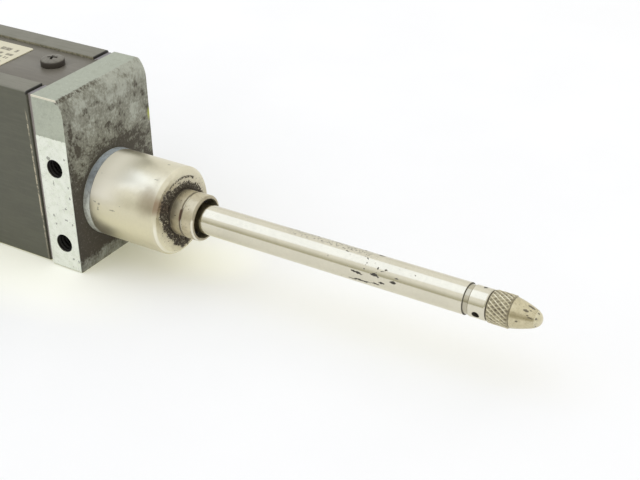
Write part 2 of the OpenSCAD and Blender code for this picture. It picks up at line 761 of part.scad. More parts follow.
module reader_block() {
    half = reader_len / 2;
    color([0.16, 0.16, 0.17]) difference() {
        along_x(reader_x - half, reader_x + half) polygon([
            [reader_y0, carriage_z1 + 1.6],
            [reader_slot_y0, carriage_z1 + 1.6],
            [reader_slot_y0, lug_z0],
            [reader_slot_y1, lug_z0],
            [reader_slot_y1, carriage_z1 + bar_h + 0.6],
            [side_y, carriage_z1 + bar_h + 0.6],
            [side_y, reader_top],
            [reader_y0 + 1, reader_top],
            [reader_y0, reader_top - 1]]);
        // lamp bore through the near leg
        translate([reader_x, reader_y0 - cut, lens_z]) rotate([-90, 0, 0])
            cylinder(d = 3, h = reader_slot_y0 - reader_y0 + 2 * cut);
        // light way and board pocket in the far leg
        translate([reader_x, reader_slot_y1 - cut, lens_z]) rotate([-90, 0, 0])
            cylinder(d = 2.6, h = pocket_y - reader_slot_y1 + 2 * cut);
        block([reader_x - 2.3, reader_x + 2.3], [reader_slot_y1 - cut, reader_slot_y1 + 0.8],
            [lens_z - 2.2, lens_z + 2.2]);
        block([reader_x - 4, reader_x + 4], [pocket_y, side_y + cut],
            [carriage_z1 + bar_h, reader_top + cut]);
        reader_screw_places() translate([0, 0, -4.2]) cylinder(d = 1.6, h = 6);
    }
}

module reader_screws() {
    color([0.30, 0.30, 0.29]) reader_screw_places() {
        translate([0, 0, -4]) cylinder(d = 1.6, h = 3.4);
        translate([0, 0, -0.65]) cylinder(d1 = 1.6, d2 = 2.9, h = 0.65);
    }
}

module led_lamp() {
    color([0.95, 0.75, 0.70]) translate([reader_x, reader_y0, lens_z]) rotate([-90, 0, 0]) {
        cylinder(d = 3, h = 1.6);
        intersection() {
            translate([0, 0, 1.6]) sphere(d = 3);
            cylinder(d = 3, h = 3);
        }
    }
}

module condenser_lens() {
    color([0.80, 0.88, 0.90, 0.6]) translate([reader_x, reader_slot_y0 - 1.2, lens_z]) rotate([-90, 0, 0])
        cylinder(d = 3, h = 1);
}

module index_grating() {
    color([0.72, 0.84, 0.84, 0.6]) block([reader_x - 2.3, reader_x + 2.3],
        [reader_slot_y1, reader_slot_y1 + 0.8], [lens_z - 2.2, lens_z + 2.2]);
}

module detector_board() {
    color([0.10, 0.30, 0.18]) block([reader_x - 4, reader_x + 4], [pocket_y, pocket_y + 1],
        [carriage_z1 + bar_h + 0.8, reader_top - 0.2]);
}

module photo_detector() {
    color([0.12, 0.12, 0.14]) translate([reader_x, pocket_y - 0.9, lens_z]) rotate([-90, 0, 0])
        cylinder(d = 2.6, h = 0.9);
}

board_y0 = chassis_y0 + 0.6;
board_y1 = side_y - 0.3;
spacer_at = [for (x = [pedestal_x1 - 3.6, board_x1 + 3], y = [board_y0 + 1.4, board_y1 - 1.4]) [x, y]];
spacer_d = 3;
board_screw_d = 1.6;

module amplifier_board() {
    color([0.10, 0.32, 0.18]) difference() {
        block([board_x1, board_x0], [board_y0, board_y1], [board_z0, board_z1]);
        for (at = spacer_at) translate([at[0], at[1], board_z0 - cut])
            cylinder(d = board_screw_d + 0.2, h = 3);
    }
}

module board_spacers() {
    color([0.78, 0.66, 0.38]) for (at = spacer_at) translate([at[0], at[1], floor_z]) difference() {
        cylinder(d = spacer_d, h = board_z0 - floor_z, $fn = 6);
        translate([0, 0, board_z0 - floor_z - 4]) cylinder(d = board_screw_d, h = 5);
    }
}

module board_screws() {
    color([0.72, 0.72, 0.70]) for (at = spacer_at) translate([at[0], at[1], board_z1])
        pan_screw(board_screw_d, board_t + 3, 2.8, 1);
}

module signal_chips() {
    chip_x = [for (i = [0:2]) board_x0 - 12 - i * 7];
    color([0.09, 0.09, 0.09]) for (x = chip_x) block([x - 2, x + 2], [-2.4, 2.6], [board_z1, board_z1 + 1.1]);
}

module lead_terminal() {
    color([0.88, 0.86, 0.78]) difference() {
        block([board_x1 + 1, board_x1 + 6], [board_y0 + 4, 0.4], [board_z0 - 4.4, board_z0]);
        for (i = [0:1]) translate([0, board_y0 + 5.2 + i * 1.8, board_z0 - 2.2])
            bar_x(1.1, board_x1, board_x1 + 5);
    }
}

module front_spring_pin() {
    color([0.72, 0.72, 0.70]) translate([front_pin_x, spring_y, -4])
        cylinder(d = spring_pin_d, h = 5.4);
}

module carriage_spring_pin() {
    color([0.72, 0.72, 0.70]) translate([rear_pin_x, spring_y, -4])
        cylinder(d = spring_pin_d, h = 5.4);
}

// A wire coil about X as one swept tube: a ring of wire_sides points at each step of the helix
module coil_wire(x0, x1, turns, mean_r, wire_r, steps_per_turn, wire_sides) {
    steps = turns * steps_per_turn;
    points = [for (i = [0:steps], k = [0:wire_sides - 1])
        let (a = 360 * i / steps_per_turn, b = 360 * k / wire_sides, r = mean_r + wire_r * cos(b))
        [x0 + (x1 - x0) * i / steps + wire_r * sin(b), r * cos(a), r * sin(a)]];
    sides = [for (i = [0:steps - 1], k = [0:wire_sides - 1])
        let (n = (k + 1) % wire_sides, a = i * wire_sides, b = a + wire_sides)
        [a + k, a + n, b + n, b + k]];
    first_end = [for (k = [wire_sides - 1:-1:0]) k];
    last_end = [for (k = [0:wire_sides - 1]) steps * wire_sides + k];
    polyhedron(points = points, faces = concat([first_end], sides, [last_end]), convexity = 10);
}

module return_spring() {
    loop_r = spring_pin_d / 2 + 0.05 + wire_d / 2;
    coil_r = (spring_d - wire_d) / 2;
    coil_x0 = rear_pin_x + 2.6;
    coil_x1 = front_pin_x - 2.8;
    color([0.66, 0.66, 0.65]) translate([0, spring_y, 0]) {
        coil_wire(coil_x0, coil_x1, spring_turns, coil_r, wire_d / 2, 12, 5);
        for (end = [[rear_pin_x, coil_x0, 1], [front_pin_x, coil_x1, -1]]) {
            translate([end[0], 0, 0]) rotate_extrude() translate([loop_r, 0]) circle(d = wire_d);
            bar_x(wire_d, min(end[0] + end[2] * loop_r, end[1]), max(end[0] + end[2] * loop_r, end[1]));
            translate([end[1], 0, 0]) rotate([-90, 0, 0]) cylinder(d = wire_d, h = coil_r);
        }
    }
}

front_end_plate();
stem_sleeve();
nose_bush();
spindle_wiper();
bearing_shell();
ball_cage();
bearing_balls();
bearing_clip();
spindle();
contact_point();
contact_tip();
case_shell();
top_cover();
cover_screws();
rating_label();
front_gasket();
rear_gasket();
rear_end_plate();
rear_plate_screws();
cable_inlet();
inlet_grommet();
chassis();
chassis_screws();
rear_guide_bush();
front_bumper();
rear_bumper();
guide_rod();
carriage();
carriage_grub_screw();
rod_bush();
scale_holder();
holder_screws();
glass_scale();
reader_block();
reader_screws();
led_lamp();
condenser_lens();
index_grating();
detector_board();
photo_detector();
amplifier_board();
board_spacers();
board_screws();
signal_chips();
lead_terminal();
front_spring_pin();
carriage_spring_pin();
return_spring();
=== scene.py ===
"""A linear gauge sensor: its finishes, fine shapes, lights and camera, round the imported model.

Sizes in the classes are millimetres in the model's own frame: X runs out along the spindle, Z is
up, and the origin is on the spindle's axis where the stem leaves its boss. Turns about the axis
are degrees, 0 on the near side and 90 on top.
"""

from __future__ import annotations

import json
import logging
import math
from dataclasses import dataclass, field
from enum import Enum
from functools import reduce

import bmesh
import bpy
from bpy.types import Material, NodeSocket, Object
from mathutils import Matrix, Vector, noise


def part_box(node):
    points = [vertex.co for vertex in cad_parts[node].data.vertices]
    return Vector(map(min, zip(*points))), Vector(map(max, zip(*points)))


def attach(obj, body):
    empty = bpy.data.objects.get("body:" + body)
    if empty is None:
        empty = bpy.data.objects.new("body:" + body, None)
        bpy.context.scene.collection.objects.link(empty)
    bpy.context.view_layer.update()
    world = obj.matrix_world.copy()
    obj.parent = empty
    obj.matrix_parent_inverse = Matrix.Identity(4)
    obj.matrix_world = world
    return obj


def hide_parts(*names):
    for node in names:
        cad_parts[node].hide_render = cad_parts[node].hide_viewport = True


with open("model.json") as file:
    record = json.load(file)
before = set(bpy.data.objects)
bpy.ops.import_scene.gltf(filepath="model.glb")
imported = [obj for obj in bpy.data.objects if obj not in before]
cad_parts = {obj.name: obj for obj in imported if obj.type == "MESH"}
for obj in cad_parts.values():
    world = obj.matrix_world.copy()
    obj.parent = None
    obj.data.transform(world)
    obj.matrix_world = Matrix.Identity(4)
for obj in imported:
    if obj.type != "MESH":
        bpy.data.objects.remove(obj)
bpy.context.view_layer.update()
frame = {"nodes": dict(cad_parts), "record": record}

MM = 0.001
FULL_TURN = 2 * math.pi
FAR = 99.0  # past every piece: for a patch with no limit that way, or an edge that a piece lacks
THICK = 9.0  # half thickness of a patch that is drawn on a plane
EDGE_WEIGHT = "bevel_weight_edge"
LOG = logging.getLogger("gauge_sensor")

Colour = tuple[float, float, float]
Place = tuple[float, float, float]
Row = tuple[float, float, float, float]
Rows = tuple[Row, ...]
Profile = list[tuple[float, float]]


class Body(Enum):
    """The moving bodies of the sensor."""

    HOUSING = "housing"
    SPINDLE = "spindle_group"


class Steps(Enum):
    """How many flats go round a turned piece."""

    FINE = 180
    KNURL = 240


def tint(red: int, green: int, blue: int) -> Colour:
    """Turns display values of 0 to 255 into a linear colour.

    Args:
        red: red display value.
        green: green display value.
        blue: blue display value.

    Returns:
        The linear colour.
    """

    def linear(part: int) -> float:
        """One linear part of the colour."""
        share = part / 255
        return share / 12.92 if share < 0.04 else ((share + 0.055) / 1.055) ** 2.4

    return linear(red), linear(green), linear(blue)


@dataclass(frozen=True)
class Tone:
    """A number that varies over a surface, with plain arithmetic.

    Attributes:
        tree: the nodes that it belongs to.
        socket: the socket that gives it.
    """

    tree: Nodes
    socket: NodeSocket

    def __add__(self, other: Value) -> Tone:
        """The sum of two numbers."""
        return self.tree.sum("ADD", self, other)

    def __sub__(self, other: Value) -> Tone:
        """The difference of two numbers."""
        return self.tree.sum("SUBTRACT", self, other)

    def __mul__(self, other: Value) -> Tone:
        """The product of two numbers."""
        return self.tree.sum("MULTIPLY", self, other)

    def ramp(self, low: float, high: float, start: float = 0.0, end: float = 1.0) -> Tone:
        """Turns a range of the number smoothly into another range.

        Args:
            low: where the ramp starts.
            high: where it ends.
            start: result at low and before.
            end: result at high and beyond.

        Returns:
            The result.
        """
        inputs = {"Value": self, "From Min": low, "From Max": high, "To Min": start, "To Max": end}
        return self.tree.number("ShaderNodeMapRange", inputs, interpolation_type="SMOOTHSTEP")

    def band(self, low: float, high: float, soft: float) -> Tone:
        """1 where the number is between two limits, fading over a soft edge outside them."""
        return self.ramp(low - soft, low) * self.ramp(high + soft, high)

    def strayed(self, pattern: Tone, reach: float) -> Tone:
        """The number moved about by a pattern, which strays round 0.5."""
        return self + (pattern - 0.5) * reach


Value = Tone | NodeSocket | float


class Nodes:
    """A node tree under construction."""

    def __init__(self, tree: bpy.types.NodeTree) -> None:
        """Starts with an empty tree.

        Args:
            tree: the tree, whose nodes are thrown away.
        """
        self.nodes, self.links = tree.nodes, tree.links
        self.nodes.clear()

    def feed(self, socket: NodeSocket, value: object) -> None:
        """Links a socket to what varies over the surface, or sets it to a fixed value.

        Args:
            socket: the socket.
            value: what it gets.
        """
        if isinstance(value, (Tone, NodeSocket)):
            self.links.new(value.socket if isinstance(value, Tone) else value, socket)
        else:
            socket.default_value = value

    def node(self, kind: str, inputs: dict, **settings: object) -> bpy.types.Node:
        """Adds a node.

        Args:
            kind: the node's type.
            inputs: its inputs by name or number, each varying or fixed.
            settings: its options.

        Returns:
            The node.
        """
        made = self.nodes.new(kind)
        for key, setting in settings.items():
            setattr(made, key, setting)
        for key, value in inputs.items():
            self.feed(made.inputs[key], value)
        return made

    def number(self, kind: str, inputs: dict, output: str | int = 0, **settings: object) -> Tone:
        """Adds a node as node() does, and gives one of its outputs as a number."""
        return Tone(self, self.node(kind, inputs, **settings).outputs[output])

    def sum(self, operation: str, *values: Value) -> Tone:
        """One step of arithmetic, named as the Math node names it."""
        return self.number("ShaderNodeMath", dict(enumerate(values)), operation=operation)

    def vector(self, operation: str, *values: object) -> NodeSocket:
        """One step of vector arithmetic that gives a place, named as the Vector Math node names it."""
        return self.node("ShaderNodeVectorMath", dict(enumerate(values)), operation=operation).outputs[0]

    def length(self, place: NodeSocket) -> Tone:
        """How far a place lies from the origin."""
        return self.number("ShaderNodeVectorMath", {0: place}, "Value", operation="LENGTH")

    def joined(self, x: Value, y: Value, z: Value) -> NodeSocket:
        """Puts three numbers together as a place."""
        return self.node("ShaderNodeCombineXYZ", {0: x, 1: y, 2: z}).outputs[0]

    def parts(self, place: NodeSocket) -> list[Tone]:
        """The three numbers of a place or direction."""
        return [Tone(self, part) for part in self.node("ShaderNodeSeparateXYZ", {0: place}).outputs]

    def mix(self, share: Value, first: object, second: object) -> NodeSocket:
        """Mixes two colours, each fixed or varying: first where share is 0, second where it is 1."""
        ends = [end if isinstance(end, NodeSocket) else (*end, 1.0) for end in (first, second)]
        return self.node("ShaderNodeMix", {0: share, 6: ends[0], 7: ends[1]}, data_type="RGBA").outputs[2]

    def blend(self, share: Value, first: Value, second: Value) -> Tone:
        """Mixes two numbers: first where share is 0, second where it is 1."""
        return self.number("ShaderNodeMix", {0: share, 2: first, 3: second}, data_type="FLOAT")

    def most(self, *values: Value) -> Tone:
        """The largest of several numbers."""
        return reduce(lambda first, second: self.sum("MAXIMUM", first, second), values)


class Shade(Nodes):
    """One node material under construction, whose patterns read the piece's millimetres."""

    def __init__(self, name: str) -> None:
        """Starts an empty material.

        Args:
            name: the material's name, which is its slot's.
        """
        self.material = bpy.data.materials.new(f"{name}_finish")
        self.material.use_nodes = True
        super().__init__(self.material.node_tree)
        self.shader = self.node("ShaderNodeBsdfPrincipled", {})
        self.node("ShaderNodeOutputMaterial", {"Surface": self.shader.outputs["BSDF"]})
        coordinates = self.node("ShaderNodeTexCoord", {}).outputs
        self.place = self.vector("MULTIPLY", coordinates["Object"], (1 / MM,) * 3)
        self.x, self.y, self.z = self.parts(self.place)
        self.forward, _, self.up = self.parts(coordinates["Normal"])
        self.colour: Colour | NodeSocket = (1.0, 1.0, 1.0)
        self.rough: Value = 0.5
        self.metal: Value = 0.0

    def cloud(
        self, size: float, detail: float = 3.0, rough: float = 0.55,
        stretch: Place = (1, 1, 1), warp: float = 0.0, at: NodeSocket | None = None,
    ) -> Tone:
        """A cloudy pattern around 0.5.

        Args:
            size: the width of its lumps.
            detail: how many finer layers it has.
            rough: how strong those are.
            stretch: how many times longer the lumps are each way.
            warp: how far it is pulled about.
            at: the place it reads, the piece's own if left out.

        Returns:
            The pattern.
        """
        scaled = self.vector("DIVIDE", at or self.place, tuple(size * s for s in stretch))
        inputs = {"Vector": scaled, "Scale": 1.0, "Detail": detail, "Roughness": rough, "Distortion": warp}
        return self.number("ShaderNodeTexNoise", inputs, "Fac")

    def dots(self, size: float, share: float) -> Tone:
        """Small uneven dots.

        Args:
            size: the spacing of the dots.
            share: the dots' radius as a share of the spacing.

        Returns:
            1 inside the dots.
        """
        inputs = {"Vector": self.place, "Scale": 1 / size, "Randomness": 1.0}
        cells = self.node("ShaderNodeTexVoronoi", inputs, feature="F1").outputs
        chance = Tone(self, cells["Color"]) * 0.25
        reach = Tone(self, cells["Distance"]) + self.cloud(size * 0.45, 2.0) * 0.35
        return (reach + chance).ramp(share + 0.24, share + 0.12)

    def turn(self) -> Tone:
        """How far a place lies round the X axis, in degrees: 0 on the near side, 90 on top."""
        return self.sum("DEGREES", self.sum("ARCTAN2", self.z, self.y * -1.0))

    def radius(self) -> Tone:
        """How far a place lies from the X axis."""
        return self.length(self.joined(0.0, self.y, self.z))

    def unrolled(self, radius: float) -> NodeSocket:
        """A place on a cylinder about X laid flat: along, round from the near side, and 0."""
        return self.joined(self.x, self.turn() * math.radians(radius), 0.0)

    def panel(self, limits: Row, soft: float, turn_soft: float) -> Tone:
        """1 on a panel of a turned surface.

        Args:
            limits: where it starts and ends along X, then by turn.
            soft: how far its ends fade.
            turn_soft: how many degrees its sides fade.

        Returns:
            The panel.
        """
        start, end, low, high = limits
        return self.x.band(start, end, soft) * self.turn().band(low, high, turn_soft)

    def hues(self, value: Value, stops: tuple[tuple[float, Colour], ...]) -> NodeSocket:
        """Reads a colour off a row of stops, straight between them.

        Args:
            value: what is read.
            stops: each stop's value, rising, with its colour.

        Returns:
            The colour.
        """
        low, high = stops[0][0], stops[-1][0]
        share = self.number("ShaderNodeMapRange", {"Value": value, "From Min": low, "From Max": high})
        made = self.node("ShaderNodeValToRGB", {0: share})
        elements = made.color_ramp.elements
        while len(elements) < len(stops):
            elements.new(0.5)
        for element, (place, colour) in zip(elements, stops):
            element.position = (place - low) / (high - low)
            element.color = (*colour, 1.0)
        return made.outputs[0]

    def table(self, value: Value, stops: tuple[tuple[float, float], ...], top: float) -> Tone:
        """Reads a number off a row of stops, straight between them.

        Args:
            value: what is read.
            stops: each stop's value, rising, with its result.
            top: as much as the largest result, or more.

        Returns:
            The number.
        """
        greys = tuple((place, (result / top,) * 3) for place, result in stops)
        return Tone(self, self.hues(value, greys)) * top

    def spot(self, at: NodeSocket, centre: Place, half: Place, inner: float = 0.8) -> Tone:
        """1 inside a patch, fading at its border.

        Args:
            at: the place it reads, already pulled about for a ragged border.
            centre: the patch's middle.
            half: its half lengths.
            inner: the share of them within which it is full.

        Returns:
            The patch.
        """
        away = self.vector("DIVIDE", self.vector("SUBTRACT", at, centre), half)
        return self.length(away).ramp(1.15, inner)

    def marked(self, radius: float, marks: Rows, size: float = 0.42, reach: float = 0.62) -> Tone:
        """1 inside ragged marks on a cylinder about X.

        Args:
            radius: the cylinder's radius.
            marks: each mark's place along, its turn, and its half length along and round.
            size: the width of the lumps that pull their borders about.
            reach: how far they pull.

        Returns:
            The marks.
        """
        at = self.ragged(self.unrolled(radius), size, reach)
        return self.most(*(
            self.spot(at, (x, math.radians(turn) * radius, 0.0), (along, across, THICK))
            for x, turn, along, across in marks
        ))

    def ragged(self, at: NodeSocket, size: float, reach: float) -> NodeSocket:
        """A place pulled about by a cloud, so that shapes drawn with it get ragged borders.

        Args:
            at: the place.
            size: the width of the cloud's lumps.
            reach: how far it pulls.

        Returns:
            The pulled place.
        """
        inputs = {"Vector": self.vector("DIVIDE", at, (size,) * 3), "Scale": 1.0, "Detail": 3.0}
        pull = self.node("ShaderNodeTexNoise", inputs).outputs["Color"]
        shift = self.vector("MULTIPLY", self.vector("SUBTRACT", pull, (0.5,) * 3), (reach,) * 3)
        return self.vector("ADD", at, shift)

    def lay(self, share: Value, colour: Colour | NodeSocket) -> None:
        """Lays a colour over those laid before, as strong as its share."""
        self.colour = self.mix(share, self.colour, colour)

    def dull(self, share: Value, rough: float, metal: float | None = None) -> None:
        """Turns the roughness towards a value, and the share of bare metal if one is given for it."""
        self.rough = self.blend(share, self.rough, rough)
        if metal is not None:
            self.metal = self.blend(share, self.metal, metal)

    def put(self, height: Tone, depth: float) -> None:
        """Joins the layers to the shader.

        Args:
            height: the relief, 0 to 1.
            depth: how deep the relief is.
        """
        for name, value in (("Base Color", self.colour), ("Roughness", self.rough), ("Metallic", self.metal)):
            self.feed(self.shader.inputs[name], value)
        bump = self.node("ShaderNodeBump", {"Height": height, "Distance": depth * MM, "Strength": 1.0})
        self.feed(self.shader.inputs["Normal"], bump.outputs[0])


@dataclass(frozen=True)
class Finish:
    """A plain finish: a colour with a slight mottle, an uneven gloss and a fine grain.

    Attributes:
        name: the material slot that it fills.
        colour: its colour.
        rough: its roughness.
        metal: its share of bare metal.
        mottle: how far the colour strays.
        grain: the width of its grain.
        relief: the depth of its grain.
        stretch: how many times longer the grain is each way.
        clear: how much light goes through it.
        dust_and_top_shading: the film on upward faces: dust, a painted sheen on the case, painted shade on
            the plate.
        film_share: how much that film covers.
    """

    name: str
    colour: Colour
    rough: float = 0.5
    metal: float = 0.0
    mottle: float = 0.15
    grain: float = 0.3
    relief: float = 0.006
    stretch: Place = (1, 1, 1)
    clear: float = 0.0
    dust_and_top_shading: Colour = tint(150, 147, 136)
    film_share: float = 0.0

    def make(self) -> Material:
        """Makes the finish's material.

        Returns:
            The material.
        """
        shade = Shade(self.name)
        shade.shader.inputs["Transmission Weight"].default_value = self.clear
        self.paint(shade)
        return shade.material

    def ground(self, shade: Shade) -> Tone:
        """Lays the mottled colour and uneven gloss that the finish starts from.

        Args:
            shade: the material under construction.

        Returns:
            The grain, for the relief.
        """
        patch = shade.cloud(6 * self.grain + 1.5, 3.0)
        grain = shade.cloud(self.grain, 2.0, 0.6, self.stretch)
        darker = tuple(part * (1 - self.mottle) for part in self.colour)
        lighter = tuple(min(1.0, part * (1 + self.mottle)) for part in self.colour)
        tone = patch * 0.6 + grain * 0.4
        shade.colour = shade.mix(tone.ramp(0.3, 0.7), darker, lighter)
        shade.rough = tone.ramp(0.25, 0.75, self.rough * 0.88, min(1.0, self.rough * 1.12))
        shade.metal = self.metal
        # Film on upward faces: dust, a painted sheen on the case's tops, painted shade on the plate's top.
        if self.film_share:
            film = shade.up.ramp(0.5, 0.9) * self.film_share * patch.ramp(0.3, 0.6, 0.8, 1.0)
            shade.lay(film, self.dust_and_top_shading)
            shade.dull(film, 0.65)
        return grain

    def paint(self, shade: Shade) -> None:
        """Lays the finish's layers over each other."""
        shade.put(self.ground(shade), self.relief)


@dataclass(frozen=True)
class CastPlate(Finish):
    """The cast end plate: grey metal, mottled oily dirt on its front, a bright milled pad and painted light
    and shade.

    Attributes:
        front_x: where the front face lies.
        flank_y: where the near flank lies.
        pad_top: the milled pad's top border.
        stem_r: the boss's radius.
        top_z: the casting's highest line.
        skin: the colours of the cast skin's darker and paler grains.
        tones: the front's clean, dirty and heavily dirty colours.
        glint: the colour of the front's bright specks.
        wear_and_highlight: the colour of the painted highlight on the edge where the flank meets the top.
        milled: the milled pad's two colours and that of its worn grains.
        dirt: the colour of the marks on it.
        hollow: the colour of the painted shade inside the side holes.
        blots: dark patches of the front as y, z, half width and half height.
        cleaner: its cleaner patches, given in the same way.
        pad_marks: marks on the pad as x, z, half width and half height.
        holes: each side hole's x and z.
        hole_r: their radius.
        hole_len: how far into them their finish goes.
        thread_lead: the lead of their threads.
        ring: the boss ring's colours by turn, painted light and shade round it.
        crease: where the top turns into the front: how far behind the origin at y 0, and its lean.
        paint_mark: a dab of paint on the far edge, as its middle and half lengths.
        dab: the dab's colour.
    """

    front_x: float = -1.3
    flank_y: float = -9.8
    pad_top: float = 13.0
    stem_r: float = 7.5
    top_z: float = 20.0
    skin: tuple[Colour, Colour] = (tint(142, 144, 126), tint(206, 210, 194))
    tones: tuple[Colour, Colour, Colour] = (tint(176, 178, 163), tint(130, 129, 113), tint(72, 66, 53))
    glint: Colour = tint(204, 204, 188)
    wear_and_highlight: Colour = tint(236, 230, 208)
    milled: tuple[Colour, Colour, Colour] = (tint(236, 241, 218), tint(251, 254, 236), tint(170, 168, 146))
    dirt: Colour = tint(74, 66, 50)
    hollow: Colour = tint(34, 31, 26)
    blots: Rows = (
        (-4.9, 16.3, 1.1, 0.5), (-8.5, 14.3, 0.6, 1.6), (8.3, 16.5, 0.6, 0.6), (9.9, 14.4, 0.5, 0.8),
        (5.6, 8.1, 1.6, 0.7), (5.1, 6.2, 1.6, 0.8), (-2.0, 16.8, 1.3, 0.35), (0.6, 11.9, 0.9, 0.5),
        (-7.2, 10.5, 0.7, 1.3), (-6.4, 12.9, 0.9, 0.7), (2.0, 14.6, 0.9, 0.6), (4.0, 15.0, 0.5, 0.9),
    )
    cleaner: Rows = (
        (8.7, 4.3, 0.7, 0.9), (2.6, 13.4, 1.2, 0.8), (-2.5, 14.4, 1.3, 0.7), (7.4, 12.4, 1.2, 1.0),
        (-5.6, 8.3, 0.8, 0.6),
    )
    pad_marks: Rows = (
        (-1.86, 2.69, 0.16, 0.22), (-3.11, 0.41, 0.22, 0.2), (-5.96, -1.49, 0.2, 0.24),
        (-3.26, -1.75, 0.3, 0.18), (-2.71, -9.13, 0.2, 0.2), (-5.52, 9.21, 0.42, 0.3),
        (-2.05, 9.71, 0.14, 0.2), (-1.92, 4.67, 0.14, 0.25), (-5.64, -2.98, 0.2, 0.16),
        (-1.98, -2.34, 0.16, 0.2), (-1.63, -9.3, 0.14, 0.3), (-5.06, 4.76, 0.08, 0.5),
    )
    holes: tuple[tuple[float, float], ...] = ((-4.424, 7.5), (-4.424, -6.5))
    hole_r: float = 1.65
    hole_len: float = 6.0
    thread_lead: float = 0.7
    ring: tuple[tuple[float, Colour], ...] = (
        (-180.0, tint(128, 130, 120)), (-70.0, tint(140, 140, 124)), (-30.0, tint(226, 228, 208)),
        (5.0, tint(226, 230, 216)), (28.0, tint(180, 186, 184)), (45.0, tint(156, 163, 167)),
        (75.0, tint(192, 202, 208)), (120.0, tint(200, 208, 212)), (180.0, tint(128, 130, 120)),
    )
    crease: tuple[float, float] = (2.58, 0.0204)
    paint_mark: tuple[Place, Place] = ((-1.5, 11.2, 9.9), (0.6, 0.7, 1.5))
    dab: Colour = tint(196, 202, 96)

    def paint(self, shade: Shade) -> None:
        """Cast skin, the front's dirt, painted light and shade on edge, ring and holes, the milled pad,
        marks.

        Args:
            shade: the material under construction.
        """
        grain = self.ground(shade)
        crumbs = shade.cloud(0.85, 4.0, 0.75)
        fine = shade.cloud(0.42, 3.0, 0.7)
        radius = shade.radius()
        load = self.front_load(shade, radius, crumbs, fine)
        shade.lay(crumbs.ramp(0.46, 0.66, 0.0, 0.3), self.skin[0])
        shade.lay(fine.ramp(0.55, 0.7, 0.0, 0.35), self.skin[1])
        back, lean = self.crease
        off = (shade.x + shade.y * lean + back).strayed(crumbs, 1.8)
        high = shade.z.ramp(self.top_z - 0.8, self.top_z - 0.4)
        front = shade.most(shade.forward.ramp(0.22, 0.34), high * off.ramp(-0.2, 0.05) * 0.9)
        shade.lay(front, self.front_colour(shade, load))
        faded = shade.y.ramp(-3.5, 4.0, 1.0, 0.1)
        shade.lay(high * off.band(-0.15, 0.4, 0.12) * fine.ramp(0.46, 0.55) * faded * 0.75, self.dirt)
        # Painted highlight along the edge where the near flank meets the top.
        edge = shade.y.ramp(self.flank_y + 0.3, self.flank_y + 0.2) * shade.forward.ramp(0.35, 0.2)
        shade.lay(edge * shade.z.ramp(self.top_z - 0.34, self.top_z - 0.22) * 0.85, self.wear_and_highlight)
        # The boss ring: painted light and shade by turn, flecked with dirt.
        ring = shade.x.ramp(self.front_x + 0.04, self.front_x + 0.12)
        ring = ring * radius.ramp(self.stem_r + 0.3, self.stem_r + 0.1)
        specks = shade.most(shade.dots(0.8, 0.14) * 0.6, crumbs.ramp(0.45, 0.65, 0.0, 0.4))
        shade.lay(ring, shade.mix(specks, shade.hues(shade.turn(), self.ring), self.dirt))
        pad, marks = self.pad(shade, crumbs)
        clear = shade.mix(crumbs.ramp(0.3, 0.62), self.milled[0], self.milled[1])
        shade.lay(pad, shade.mix(fine.ramp(0.57, 0.7, 0.0, 0.4), clear, self.milled[2]))
        shade.lay(marks, self.dirt)
        # Painted shade inside the side holes.
        inside = self.inside_holes(shade)
        shade.lay(inside, self.hollow)
        dab = shade.spot(shade.ragged(shade.place, 0.4, 0.5), *self.paint_mark, 0.3)
        shade.lay(dab * fine.ramp(0.3, 0.6, 0.5, 0.85), self.dab)
        dirty = shade.most(front * load.ramp(0.1, 0.6, 0.6, 1.0), marks, inside)
        shade.dull(dirty, 0.72)
        shade.dull(shade.most(pad, ring), 0.45)
        shade.metal = shade.blend(shade.most(dirty, pad), self.metal, 0.05)
        thread = inside * shade.sum("SINE", shade.y * (FULL_TURN / self.thread_lead)) * 2.0
        shade.put(grain * 0.4 + front * (load + crumbs) * 0.9 + thread, self.relief)

    def front_colour(self, shade: Shade, load: Tone) -> NodeSocket:
        """The front's colour under its dirt and painted shade, with bright specks where it is thin.

        Args:
            shade: the material under construction.
            load: how heavily dirt and painted shade lie.

        Returns:
            The colour.
        """
        clean, dirty, heavy = self.tones
        colour = shade.mix(load.ramp(-0.2, 0.6), clean, dirty)
        colour = shade.mix(load.ramp(0.5, 1.0), colour, heavy)
        elsewhere = shade.vector("ADD", shade.place, (31.0, 7.0, 5.0))
        glints = shade.cloud(0.38, 2.0, 0.6, at=elsewhere).ramp(0.56, 0.68)
        return shade.mix(glints * load.ramp(0.9, 0.4, 0.08, 0.3), colour, self.glint)

    def front_load(self, shade: Shade, radius: Tone, crumbs: Tone, fine: Tone) -> Tone:
        """How heavily dirt lies on the front, with painted shade round the boss's root, about 0 to 1.

        Args:
            shade: the material under construction.
            radius: distance from the axis.
            crumbs: the middling pattern.
            fine: the fine pattern.

        Returns:
            How heavily they lie.
        """
        load = shade.z.ramp(19.0, 1.0, 0.18, 0.66) + radius.ramp(self.stem_r + 5.5, self.stem_r, 0.0, 0.3)
        load = load + shade.y.ramp(-5.0, self.flank_y + 0.4, 0.0, 0.2)
        load = load + shade.cloud(2.6, 4.0, 0.62, warp=0.4) * 2.0 + crumbs * 1.3 + fine - 2.07
        at = shade.ragged(shade.joined(0.0, shade.y, shade.z), 0.9, 1.3)
        for patches, share in ((self.blots, 0.34), (self.cleaner, -0.18)):
            spots = (shade.spot(at, (0.0, y, z), (THICK, wide, tall)) for y, z, wide, tall in patches)
            load = load + shade.most(*spots) * share
        # Painted shade in a ring where the boss meets the front.
        load = load + radius.ramp(self.stem_r + 1.1, self.stem_r + 0.2, 0.0, 0.4)
        load = load - shade.y.ramp(-3.0, 5.0) * shade.z.strayed(crumbs, 3.0).ramp(15.0, 18.2) * 0.22
        load = load + shade.y.ramp(0.0, -7.0) * shade.z.band(-6.5, -1.5, 3.0) * 0.78
        return load - shade.z.strayed(crumbs, 1.6).ramp(-8.8, -10.4, 0.0, 0.5)

